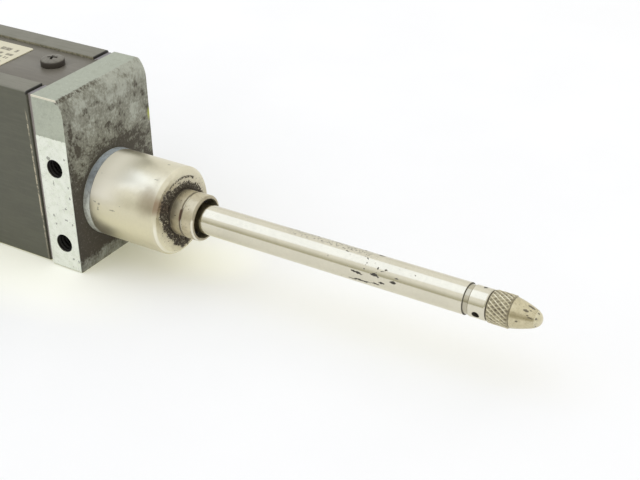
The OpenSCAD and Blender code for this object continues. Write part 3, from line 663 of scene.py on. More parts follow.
    def pad(self, shade: Shade, crumbs: Tone) -> tuple[Tone, Tone]:
        """The milled pad and the marks on it.

        Args:
            shade: the material under construction.
            crumbs: the middling pattern.

        Returns:
            1 on the pad, and the strength of its marks.
        """
        flat = shade.y.ramp(self.flank_y + 0.06, self.flank_y + 0.02)
        pad = flat * shade.z.strayed(crumbs, 2.2).ramp(self.pad_top + 0.2, self.pad_top - 0.2)
        at = shade.ragged(shade.joined(shade.x, 0.0, shade.z), 0.3, 0.5)
        spots = (shade.spot(at, (x, 0.0, z), (wide, THICK, tall)) for x, z, wide, tall in self.pad_marks)
        return pad, shade.most(*spots) * flat * 0.6

    def inside_holes(self, shade: Shade) -> Tone:
        """The insides of the side holes.

        Args:
            shade: the material under construction.

        Returns:
            1 inside them.
        """
        start, end = self.flank_y, self.flank_y + self.hole_len
        deep = shade.y.ramp(start + 0.1, start + 0.3) * shade.y.ramp(end, end - 0.2)
        away = (shade.length(shade.joined(shade.x - x, 0.0, shade.z - z)) for x, z in self.holes)
        return deep * shade.most(*(far.ramp(self.hole_r + 0.2, self.hole_r + 0.05) for far in away))


@dataclass(frozen=True)
class TurnedSteel(Finish):
    """Turned steel with fine lines round the axis, stains, dirt on one end face, and painted highlights and
    reflections.

    Attributes:
        turned_r: the radius.
        face_x: where the end face lies.
        seam_x: where it meets the boss.
        stain_and_dark_reflection: the colour of the stains, also laid as a painted dark reflection.
        haze_and_highlight: the colour of the hazy part near the boss, laid on its upper side as a painted
            highlight.
        floor_reflection: the colour of the painted reflection of the floor on the near lower side.
        rust: the colour of the reddish patch on the chamfer.
        wear_and_highlight: the colour of the painted highlights: the bright patch and the chamfer's lower
            part.
        dirt: the colour of the crust.
        pits: the pits on the near side, as marks.
        crust_r: how far out the crust reaches on the face, by turn.
        crust_top: as much as the largest of those.
        stained: the painted dark reflection's middle as x and turn, and its half length along and round.
        polished: the painted highlight, given in the same way.
    """

    turned_r: float = 7.5
    face_x: float = 13.5
    seam_x: float = 0.0
    stain_and_dark_reflection: Colour = tint(148, 134, 110)
    haze_and_highlight: Colour = tint(250, 245, 226)
    floor_reflection: Colour = tint(216, 208, 168)
    rust: Colour = tint(154, 118, 94)
    wear_and_highlight: Colour = tint(252, 249, 232)
    dirt: Colour = tint(46, 36, 22)
    pits: Rows = (
        (1.16, 14.9, 0.28, 0.12), (2.10, 12.9, 0.22, 0.2), (1.89, 4.8, 0.2, 0.16), (1.91, 7.4, 0.12, 0.2),
        (4.86, 9.5, 0.55, 0.14), (11.41, 63.9, 0.35, 0.1), (10.75, 97.9, 0.3, 0.14),
        (10.55, 122.8, 0.3, 0.14), (1.0, 52.0, 0.1, 0.1), (6.4, 18.0, 0.16, 0.08),
    )
    crust_r: tuple[tuple[float, float], ...] = (
        (-180.0, 6.1), (-120.0, 6.0), (-96.0, 6.6), (-74.0, 6.2), (-52.0, 5.1), (-28.0, 5.0), (-2.0, 5.4),
        (12.0, 6.1), (41.0, 6.5), (56.0, 6.3), (68.0, 5.2), (124.0, 5.0), (150.0, 5.4), (180.0, 6.1),
    )
    crust_top: float = 8.0
    stained: Row = (12.4, 33.0, 3.4, 3.3)
    polished: Row = (7.2, 56.0, 4.6, 2.4)

    def paint(self, shade: Shade) -> None:
        """Turning lines, pits, stains and painted light, then the seam, the chamfer and the crusted face.

        Args:
            shade: the material under construction.
        """
        grain = self.ground(shade)
        x, turn = shade.x, shade.turn()
        lines = shade.cloud(0.09, 2.0, 0.7, (1, 60, 60))
        shade.lay(shade.cloud(4.0, 4.0, 0.6, (1.6, 1, 1), 0.6).ramp(0.5, 0.75, 0.0, 0.28), self.stain_and_dark_reflection)
        at = shade.ragged(shade.unrolled(self.turned_r), 3.0, 2.4)
        # A painted dark reflection, then a painted highlight patch.
        regions = ((self.stained, 0.72, self.stain_and_dark_reflection), (self.polished, 0.85, self.wear_and_highlight))
        for (middle, middle_turn, along, across), share, over in regions:
            centre = (middle, math.radians(middle_turn) * self.turned_r, 0.0)
            shade.lay(shade.spot(at, centre, (along, across, FAR), 0.2) * share, over)
        # Matte hazy part near the boss, lighter on its upper side as a painted highlight.
        haze_and_highlight = x.ramp(8.0, 2.2) * turn.band(26.0, 88.0, 18.0)
        shade.lay(haze_and_highlight * 0.9, self.haze_and_highlight)
        # Painted reflection of the floor on the near lower side.
        shade.lay(turn.ramp(26.0, 4.0, 0.0, 0.4), self.floor_reflection)
        pits = shade.marked(self.turned_r, self.pits, 0.5, 0.5) * 0.42
        seam = x.ramp(self.seam_x + 0.16, self.seam_x + 0.06, 0.0, 0.7)
        shade.lay(pits, self.dirt)
        shade.lay(seam, self.dirt)
        red = x.ramp(self.face_x - 0.62, self.face_x - 0.5) * turn.band(26.0, 34.0, 10.0)
        shade.lay(red * 0.42, self.rust)
        # Painted highlight on the chamfer's lower near part.
        bright = x.band(self.face_x - 0.3, self.face_x - 0.06, 0.1) * turn.ramp(14.0, -6.0)
        shade.lay(bright * 0.7, self.wear_and_highlight)
        crust, film = self.crust(shade, turn)
        shade.lay(film * 0.35, self.stain_and_dark_reflection)
        shade.lay(crust * 0.95, self.dirt)
        face = x.ramp(self.face_x - 0.4, self.face_x - 0.02)
        shade.dull(shade.most(haze_and_highlight * 0.5, face), self.rough + 0.12)
        shade.metal = shade.blend(haze_and_highlight, self.metal, 0.15)
        shade.dull(shade.most(crust, pits, seam), 0.85, 0.0)
        shade.put(lines * 0.35 + crust * shade.cloud(0.3, 3.0, 0.7) * 5.0 + grain * 0.2, self.relief)

    def crust(self, shade: Shade, turn: Tone) -> tuple[Tone, Tone]:
        """The crust on the end face, and the film round it.

        Args:
            shade: the material under construction.
            turn: the turn about the axis.

        Returns:
            1 in the crust, and 1 in the film.
        """
        face = shade.x.ramp(self.face_x - 0.06, self.face_x - 0.01)
        radius = shade.radius()
        reach = shade.table(turn, self.crust_r, self.crust_top) - radius
        reach = reach.strayed(shade.cloud(1.1, 4.0, 0.75), 1.9).strayed(shade.cloud(0.35, 3.0, 0.7), 1.6)
        crumbs = shade.cloud(0.4, 4.0, 0.75)
        solid = reach.ramp(-0.05, 0.12) * crumbs.ramp(0.36, 0.47, 0.3, 1.0)
        arc = (radius + crumbs * 0.5).band(6.0, 6.3, 0.12) * turn.band(66.0, 126.0, 6.0)
        loose = shade.dots(0.42, 0.24) * reach.ramp(-1.9, -0.3) * 0.9
        found = shade.most(solid, arc * crumbs.ramp(0.44, 0.52), loose)
        return face * found, face * reach.ramp(-1.6, 0.0)


@dataclass(frozen=True)
class GroundSteel(Finish):
    """The ground spindle: bright steel with burnt-on marks, specks, a speckled band and painted shade.

    Attributes:
        ground_r: the rod's radius.
        burnt: the colour of the marks, also laid as painted shade at the groove, the seat and the cross hole.
        tan: the colour of the groove's floor.
        groove: where the groove starts and ends.
        end_x: where the painted shade at the end face starts and where it is full.
        hole: the cross hole's place along, its turn and its radius.
        specked: a panel with loose specks, as x limits and turn limits.
        speckled: a panel that is finely speckled, given in the same way.
        marks: the marks on the rod.
    """

    ground_r: float = 2.5
    burnt: Colour = tint(46, 41, 34)
    tan: Colour = tint(152, 145, 122)
    groove: tuple[float, float] = (66.1, 66.9)
    end_x: tuple[float, float] = (69.66, 69.72)
    hole: Place = (68.3, 110.0, 0.6)
    specked: Row = (46.0, 57.0, -32.0, 63.0)
    speckled: Row = (36.5, 48.0, 84.0, 143.0)
    marks: Rows = (
        (48.3, 8.9, 0.95, 0.17), (49.0, 6.0, 0.5, 0.12), (51.4, 18.5, 0.7, 0.22), (52.0, 14.0, 0.4, 0.12),
        (54.7, 10.3, 0.55, 0.17), (55.2, 26.8, 0.36, 0.1), (68.45, 103.0, 0.3, 0.3),
        (47.6, -26.7, 0.7, 0.13), (48.6, -20.8, 0.7, 0.2), (49.6, -23.0, 0.8, 0.16),
        (51.7, -15.5, 0.7, 0.16), (52.8, -5.4, 0.55, 0.15), (50.6, -19.0, 0.4, 0.1),
        (51.8, 43.6, 0.14, 0.14), (52.7, 38.0, 0.3, 0.07), (53.2, 45.7, 0.25, 0.08),
        (49.8, 50.8, 0.1, 0.1), (49.6, 67.8, 0.12, 0.12), (48.2, 112.0, 0.2, 0.25),
        (51.1, 106.6, 0.6, 0.16), (45.8, 74.0, 0.3, 0.08), (57.9, 56.0, 0.08, 0.08), (51.0, 60.0, 0.1, 0.08),
    )

    def paint(self, shade: Shade) -> None:
        """Bright steel, marks by their place on the rod, the groove, and painted shade at groove, seat and
        hole.

        Args:
            shade: the material under construction.
        """
        grain = self.ground(shade)
        specks = shade.panel(self.specked, 3.0, 23.0) * shade.dots(0.75, 0.17)
        speckles = shade.cloud(0.3, 3.0, 0.65).ramp(0.5, 0.62, 0.0, 0.62)
        speckled = shade.panel(self.speckled, 4.0, 14.0) * speckles
        loose = shade.dots(2.6, 0.06) * 0.7
        burnt = shade.most(shade.marked(self.ground_r, self.marks), specks, speckled, loose)
        start, end = self.groove
        shade.lay(shade.x.band(start, end + 0.12, 0.03) * 0.55, self.tan)
        # Painted shade along the groove's rear corner and in the gap at the end face.
        corner = shade.x.band(start - 0.02, start + 0.08, 0.04) * 0.7
        seat = shade.x.ramp(*self.end_x, 0.0, 0.9)
        dark = shade.most(burnt, corner, seat, self.inside_hole(shade))
        shade.lay(dark * 0.93, self.burnt)
        shade.dull(dark, 0.8, 0.1)
        lines = shade.cloud(0.05, 2.0, 0.6, (1, 80, 80))
        shade.put(lines * 0.25 + burnt * shade.cloud(0.12, 2.0) * 5.0 + grain * 0.1, self.relief)

    def inside_hole(self, shade: Shade) -> Tone:
        """The wall of the cross hole, which takes painted shade.

        Args:
            shade: the material under construction.

        Returns:
            1 on it.
        """
        x, turn, radius = self.hole
        angle = math.radians(turn)
        side = shade.y * math.cos(angle) + shade.z * math.sin(angle)
        away = shade.length(shade.joined(shade.x - x, side, 0.0))
        deep = shade.radius().ramp(self.ground_r - 0.07, self.ground_r - 0.15)
        return deep * away.ramp(radius + 0.1, radius + 0.04)


@dataclass(frozen=True)
class StainedSteel(Finish):
    """Turned steel yellowed by handling, darker with dirt in steps and valleys and painted shade in gaps,
    with painted reflection and highlights.

    Attributes:
        stain_and_dark_reflection: the colour of the stains and of the painted dark reflection.
        stained: how strong they are.
        dirt: the colour of the dirt.
        dirt_and_shade_x: dark bands round the piece, dirt and painted shade in gaps, as start, end and share.
        crest: the colour of the knurl's pale crests and of the painted highlights on edges.
        red: the colour of the rust.
        valley: the knurl's x limits, and the radius of its floor and its top.
        marked_r: the radius at which the marks lie.
        marks: dark marks on the piece.
        rust: a reddish panel, as x limits and turn limits.
        painted_dark_reflection: a painted dark reflection along it, given in the same way.
        wear_and_highlight: painted highlights on edges, given in the same way.
    """

    stain_and_dark_reflection: Colour = tint(146, 132, 98)
    stained: float = 0.6
    dirt: Colour = tint(60, 50, 38)
    dirt_and_shade_x: tuple[Place, ...] = ()
    crest: Colour = tint(250, 245, 222)
    red: Colour = tint(112, 72, 56)
    valley: Row | None = None
    marked_r: float = 2.5
    marks: Rows = ()
    rust: Row | None = None
    painted_dark_reflection: Row | None = None
    wear_and_highlight: Rows = ()

    def paint(self, shade: Shade) -> None:
        """Steel, stains in patches, dirt and painted shade in bands along the axis, dirt in the knurl's
        valleys, and painted reflection and highlights.

        Args:
            shade: the material under construction.
        """
        grain = self.ground(shade)
        lines = shade.cloud(0.08, 2.0, 0.7, (1, 50, 50))
        patches = shade.cloud(1.5, 4.0, 0.65, warp=0.6)
        dirt = shade.cloud(0.5, 4.0, 0.7).ramp(0.58, 0.7, 0.0, 0.45)
        wander = shade.x.strayed(shade.cloud(0.6, 3.0), 0.25)
        # Dark bands: dirt, and painted shade in gaps between parts.
        for low, high, share in self.dirt_and_shade_x:
            dirt = shade.most(dirt, wander.band(low, high, 0.08) * share)
        if self.valley:
            low, high, floor_r, top_r = self.valley
            knurl, radius = shade.x.band(low, high, 0.05), shade.radius()
            deep = knurl * radius.ramp(top_r, floor_r)
            dirt = shade.most(dirt, deep * patches.ramp(0.3, 0.7, 0.35, 0.75))
            shade.lay(knurl * radius.ramp(top_r - 0.04, top_r + 0.01) * 0.8, self.crest)
        if self.marks:
            dirt = shade.most(dirt, shade.marked(self.marked_r, self.marks, 0.3, 0.35) * 0.75)
        shade.lay(patches.ramp(0.42, 0.72, 0.0, self.stained), self.stain_and_dark_reflection)
        # Painted dark reflection along the piece.
        if self.painted_dark_reflection:
            shade.lay(shade.panel(self.painted_dark_reflection, 0.4, 9.0) * 0.42, self.stain_and_dark_reflection)
        if self.rust:
            shade.lay(shade.panel(self.rust, 0.05, 6.0) * 0.8, self.red)
        shade.lay(dirt, self.dirt)
        shade.dull(dirt, 0.75, 0.1)
        # Painted highlights on edges.
        for limits in self.wear_and_highlight:
            edge = shade.panel(limits, 0.04, 8.0) * 0.85
            shade.lay(edge, self.crest)
            shade.metal = shade.blend(edge, shade.metal, 0.1)
        shade.put(lines * 0.4 + grain * 0.4, self.relief)


@dataclass(frozen=True)
class Enamel(Finish):
    """Stoved paint on sheet steel: dark and satin, worn to a tan line along its open edges, with a painted
    highlight on the far edge and painted shade at the lips' ends.

    Attributes:
        worn: the colour of the worn edges, also laid as a painted highlight along the far top edge.
        front_end_shade: the colour of the painted shade at the lips' front ends.
        front_line: the front edge's x at the axis, its lean up the side, and the line's width.
        line_back: how far the line lies behind the edge at the axis, and how much more up the side.
        near_y: where the near side starts and where it is full.
        lip_y: where the folded lips end.
        lip_z: the height of their top.
        edge_y: the far side.
        top_z: the highest face.
    """

    worn: Colour = tint(202, 192, 162)
    front_end_shade: Colour = tint(30, 28, 25)
    front_line: Place = (-8.973, -0.00635, 0.1)
    line_back: tuple[float, float] = (0.34, 0.018)
    near_y: tuple[float, float] = (-8.6, -9.0)
    lip_y: tuple[float, float] = (-5.3, 7.3)
    lip_z: float = 19.2
    edge_y: float = 11.3
    top_z: float = 20.0

    def paint(self, shade: Shade) -> None:
        """Orange-peel paint with worn edges at the front and along the lips, painted shade at the lips' ends,
        and worn paint with a painted highlight along the far side.

        Args:
            shade: the material under construction.
        """
        grain = self.ground(shade)
        x, y, z = shade.x, shade.y, shade.z
        lighter = tuple(min(1.0, part * 1.35) for part in self.colour)
        shade.lay(shade.cloud(0.45, 3.0, 0.65, (9, 1, 1)).ramp(0.42, 0.7, 0.0, 0.35), lighter)
        ragged = shade.cloud(0.7, 4.0, 0.7)
        (start, lean, width), (back, more) = self.front_line, self.line_back
        depth = (z * (lean - more) + (start - back) - x).strayed(ragged, 0.25)
        tall = z.ramp(-10.5, -2.0, 0.25, 1.0) * z.ramp(17.5, 13.5)
        broken = shade.cloud(0.9, 4.0, 0.7).ramp(0.42, 0.54, 0.15, 0.95) * tall
        bare = depth.band(-width, width, 0.08) * y.ramp(*self.near_y) * broken
        # Painted shade in the gap at the lips' front ends.
        cut = x.ramp(start - 0.42, start - 0.26) * z.ramp(self.top_z - 0.7, self.top_z - 0.4)
        shade.lay(cut * 0.9, self.front_end_shade)
        for lip in self.lip_y:
            near = y.band(lip - 0.01, lip + 0.01, 0.04) * z.ramp(self.lip_z, self.lip_z + 0.2)
            bare = shade.most(bare, near * ragged.ramp(0.42, 0.58, 0.15, 0.42))
        # Along the far top edge the tan line is worn paint and a painted highlight.
        corner = y.ramp(self.edge_y - 0.28, self.edge_y - 0.1) * z.ramp(self.top_z - 0.6, self.top_z - 0.2)
        bare = shade.most(bare, corner * ragged.ramp(0.38, 0.5, 0.3, 0.85))
        shade.lay(bare, self.worn)
        shade.dull(bare, 0.6)
        shade.put(grain - bare * 0.8, self.relief)


@dataclass(frozen=True)
class WornSheenBlack(Finish):
    """Blackened screw steel, lighter on its domed top: part wear, part painted sheen from above.

    Attributes:
        wear_and_highlight: the colour of the lighter dome, worn steel and painted sheen.
        dome_z: where the rubbing starts and where it is full.
    """

    wear_and_highlight: Colour = tint(128, 124, 112)
    dome_z: tuple[float, float] = (20.4, 20.7)

    def paint(self, shade: Shade) -> None:
        """Black steel that lightens towards the top of the dome.

        Args:
            shade: the material under construction.
        """
        grain = self.ground(shade)
        # Lighter dome top: wear, and a painted sheen on faces that look up.
        top = shade.z.ramp(*self.dome_z) * shade.cloud(0.8, 4.0, 0.7).ramp(0.3, 0.6, 0.55, 1.0)
        shade.lay(top * 0.85 * shade.up.ramp(0.3, 0.8), self.wear_and_highlight)
        shade.put(grain, self.relief)


@dataclass(frozen=True)
class PrintedFoil(Finish):
    """A pale foil label with rows of short plain bars.

    Attributes:
        print_colour: the bars' colour.
        rows: each row's y, half height, start and end.
        bar_w: about how long a bar is.
    """

    print_colour: Colour = tint(104, 96, 78)
    rows: Rows = (
        (3.3, 0.5, -60.0, -22.6), (1.5, 0.34, -58.0, -22.2), (0.2, 0.34, -44.0, -22.2),
        (-1.6, 0.34, -52.0, -22.2), (-2.9, 0.34, -56.0, -22.2),
    )
    bar_w: float = 1.1

    def paint(self, shade: Shade) -> None:
        """Foil, then each row cut into bars along it.

        Args:
            shade: the material under construction.
        """
        grain = self.ground(shade)
        bars = []
        for number, (y, half, start, end) in enumerate(self.rows):
            row = shade.y.band(y - half, y + half, 0.05) * shade.x.band(start, end, 0.05)
            at = shade.vector("ADD", shade.place, (7.0 * number, 0.0, 0.0))
            bars.append(row * shade.cloud(self.bar_w, 1.0, 0.4, (1, 900, 900), at=at).ramp(0.46, 0.49))
        shade.lay(shade.most(*bars) * shade.cloud(0.4, 3.0).ramp(0.3, 0.6, 0.55, 0.9), self.print_colour)
        shade.put(grain, self.relief)


class Paints:
    """All the finishes by the name of their material slot, made when first asked for."""

    def __init__(self) -> None:
        """Lists the finishes."""
        listed: list[Finish] = [
            # The plate's top film is dust and painted shade, which darkens the top.
            CastPlate(
                "plate_cast", tint(184, 189, 170), 0.5, 0.35, grain=0.4, relief=0.05, mottle=0.09,
                dust_and_top_shading=tint(170, 174, 159), film_share=0.85,
            ),
            TurnedSteel("stem_steel", tint(222, 216, 192), 0.34, 0.85, mottle=0.05, grain=0.5, relief=0.004),
            StainedSteel(
                "nose_steel", tint(202, 193, 166), 0.38, 0.9, mottle=0.08, marked_r=3.9, stained=0.45,
                dirt_and_shade_x=((13.35, 13.95, 0.85), (15.8, 16.0, 0.6), (18.3, 18.5, 0.25)),
                rust=(15.72, 16.0, 12.0, 36.0),
                wear_and_highlight=((15.95, 16.2, -60.0, 8.0), (15.95, 16.2, 48.0, 78.0), (18.2, 18.4, -70.0, 16.0)),
                marks=(
                    (14.9, 20.0, 0.16, 0.1), (15.1, 60.0, 0.1, 0.1), (14.6, 88.0, 0.12, 0.12),
                    (17.2, 44.0, 0.1, 0.08),
                ),
            ),
            GroundSteel(
                "spindle_steel", tint(214, 209, 190), 0.16, 1.0, mottle=0.04, grain=0.6, relief=0.003,
            ),
            # Its first dark band is painted shade in the gap at the shoulder.
            StainedSteel(
                "contact_steel", tint(204, 195, 163), 0.28, 0.95, mottle=0.1, marked_r=2.0, stained=0.35,
                dirt_and_shade_x=((69.72, 69.84, 0.9), (73.28, 73.4, 0.55)), valley=(69.95, 73.2, 2.34, 2.52),
                painted_dark_reflection=(73.8, 76.6, 17.0, 33.0),
                marks=(
                    (75.98, 93.9, 0.6, 0.28), (75.5, 58.7, 0.42, 0.2), (76.4, 30.0, 0.5, 0.1),
                    (76.1, 70.0, 0.16, 0.12), (75.9, 40.0, 0.2, 0.1), (74.6, 2.0, 0.2, 0.12),
                ),
            ),
            StainedSteel(
                "tip_ball", tint(218, 210, 178), 0.3, 0.5, relief=0.002, marked_r=1.1, stained=0.15,
                marks=((77.15, 87.0, 0.14, 0.13), (77.15, 36.7, 0.15, 0.16), (77.15, -25.8, 0.12, 0.12)),
            ),
            # The case's film on its tops is a painted sheen, which lightens them.
            Enamel(
                "case_paint", tint(91, 91, 75), 0.46, grain=0.35, relief=0.008, mottle=0.07,
                dust_and_top_shading=tint(136, 133, 121), film_share=0.8,
            ),
            Enamel(
                "cover_paint", tint(107, 102, 91), 0.42, grain=0.35, mottle=0.07, lip_z=FAR, top_z=FAR,
                front_line=(FAR, 0.0, 0.1),
            ),
            WornSheenBlack("black_screw", tint(67, 61, 55), 0.45, 0.2, grain=0.2),
            PrintedFoil("label_foil", tint(214, 207, 180), 0.4, 0.05, mottle=0.05, grain=0.6, relief=0.003),
            Finish(
                "gasket_rubber", tint(148, 140, 132), 0.75, grain=0.25, relief=0.02,
                dust_and_top_shading=tint(118, 116, 122), film_share=0.7,
            ),
            Finish("black_rubber", tint(40, 39, 38), 0.7, grain=0.2, relief=0.015),
            Finish("inlet_nickel", tint(176, 173, 164), 0.3, 0.9, grain=0.4, relief=0.004),
            Finish("bearing_steel", tint(205, 204, 200), 0.15, 1.0, relief=0.001),
            Finish("dark_steel", tint(90, 88, 84), 0.4, 0.9),
            Finish("bronze", tint(170, 126, 72), 0.35, 1.0),
            Finish("brass", tint(196, 166, 92), 0.3, 1.0),
            Finish("chassis_aluminium", tint(170, 172, 174), 0.42, 0.9, stretch=(10, 1, 1), relief=0.008),
            Finish("carriage_aluminium", tint(182, 183, 184), 0.36, 0.9, stretch=(10, 1, 1)),
            Finish("white_plastic", tint(226, 224, 214), 0.45),
            Finish("scale_glass", tint(206, 222, 216), 0.06, relief=0.0005, clear=0.85),
            Finish("lens_glass", tint(226, 232, 230), 0.05, relief=0.0005, clear=0.9),
            Finish("reader_black", tint(36, 36, 37), 0.5),
            Finish("lamp_plastic", tint(196, 60, 48), 0.25, clear=0.4, relief=0.001),
            Finish("board_green", tint(32, 92, 62), 0.4, mottle=0.2, grain=0.5),
            Finish("chip_black", tint(30, 30, 31), 0.5),
            Finish("cream_plastic", tint(222, 212, 184), 0.45),
            Finish("spring_steel", tint(160, 158, 152), 0.25, 1.0),
        ]
        self.finishes = {finish.name: finish for finish in listed}
        self.made: dict[str, Material] = {}

    def get(self, slot: str) -> Material:
        """The material of a slot."""
        if slot not in self.made:
            self.made[slot] = self.finishes[slot].make()
        return self.made[slot]


PAINTS = Paints()


def slot_of(node: str) -> str:
    """The material slot that the record gives a node."""
    return next(part["material_slot"] for part in frame["record"]["subparts"] if part["node"] == node)


def end_x(node: str, end: int = 0) -> float:
    """Where a node starts along X, or ends if end is 1, in millimetres."""
    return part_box(node)[end].x / MM


def linked(made: Object) -> Object:
    """Puts an object in the scene and hands it on."""
    bpy.context.scene.collection.objects.link(made)
    return made


def placed(shape: bmesh.types.BMesh, name: str) -> Object:
    """Makes an object of a shape and puts it in the scene.

    Args:
        shape: the shape; it is used up.
        name: the object's name.

    Returns:
        The object.
    """
    mesh = bpy.data.meshes.new(name)
    shape.to_mesh(mesh)
    shape.free()
    return linked(bpy.data.objects.new(name, mesh))


def lathe(profile: Profile, steps: Steps = Steps.FINE) -> bmesh.types.BMesh:
    """Turns a profile about X.

    Args:
        profile: its points as (x, radius); a closed ring unless it starts and ends on the axis.
        steps: how many flats go round.

    Returns:
        The turned mesh, in millimetres.
    """
    shape = bmesh.new()
    points = [shape.verts.new((x, 0.0, radius)) for x, radius in profile]
    edges = [shape.edges.new(pair) for pair in zip(points, points[1:])]
    if profile[0][1] > 0 and profile[-1][1] > 0:
        edges.append(shape.edges.new((points[-1], points[0])))
    bmesh.ops.spin(
        shape, geom=[*points, *edges], cent=(0, 0, 0), axis=(1, 0, 0), angle=FULL_TURN,
        steps=steps.value, use_merge=True,
    )
    bmesh.ops.remove_doubles(shape, verts=shape.verts, dist=1e-5)
    bmesh.ops.recalc_face_normals(shape, faces=shape.faces)
    return shape


def merged_copy(node: str) -> bmesh.types.BMesh:
    """A node's mesh with its loose triangles merged into whole faces, in millimetres.

    Args:
        node: the node's name.

    Returns:
        The mesh.
    """
    shape = bmesh.new()
    shape.from_mesh(frame["nodes"][node].data)
    bmesh.ops.scale(shape, vec=(1 / MM,) * 3, verts=shape.verts)
    bmesh.ops.remove_doubles(shape, verts=shape.verts, dist=1e-4)
    bmesh.ops.dissolve_limit(
        shape, angle_limit=math.radians(0.4), use_dissolve_boundaries=False, verts=shape.verts,
        edges=shape.edges, delimit=set(),
    )
    return shape


@dataclass
class Assembly:
    """What every sub-assembly shares: the way a finished piece is put on its body.

    Attributes:
        body: the body that its pieces ride on.
        made: its finished pieces.
    """

    body: Body = Body.HOUSING
    made: list[Object] = field(default_factory=list)

    def piece(self, shape: bmesh.types.BMesh, node: str, edge: float = 0.0, sharp: float = 35.0) -> None:
        """Makes an object of a shape, dresses it as the node it stands for, and puts it on its body.

        Args:
            shape: the shape in millimetres; it is used up.
            node: the node it stands for.
            edge: the width of its rounded edges.
            sharp: the angle in degrees past which an edge is sharp.
        """
        bmesh.ops.scale(shape, vec=(MM,) * 3, verts=shape.verts)
        made = placed(shape, f"{node}_fine")
        mesh = made.data
        mesh.polygons.foreach_set("use_smooth", [True] * len(mesh.polygons))
        if edge:
            bevel = made.modifiers.new("rounded_edges", "BEVEL")
            bevel.width = edge * MM
            bevel.segments = 3
            bevel.limit_method = "WEIGHT" if EDGE_WEIGHT in mesh.attributes else "ANGLE"
            bevel.angle_limit = math.radians(sharp)
            bevel.harden_normals = True
        else:
            mesh.set_sharp_from_angle(angle=math.radians(sharp))
        slot = slot_of(node)
        mesh.materials.append(PAINTS.get(slot))
        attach(made, self.body.value)
        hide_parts(node)
        self.made.append(made)
        LOG.info("%s: %d faces, finish %s", made.name, len(mesh.polygons), slot)

    def copies(self, nodes: dict[str, float]) -> None:
        """Makes pieces of merged node copies, each with its own width of rounded edges."""
        for node, edge in nodes.items():
            self.piece(merged_copy(node), node, edge)


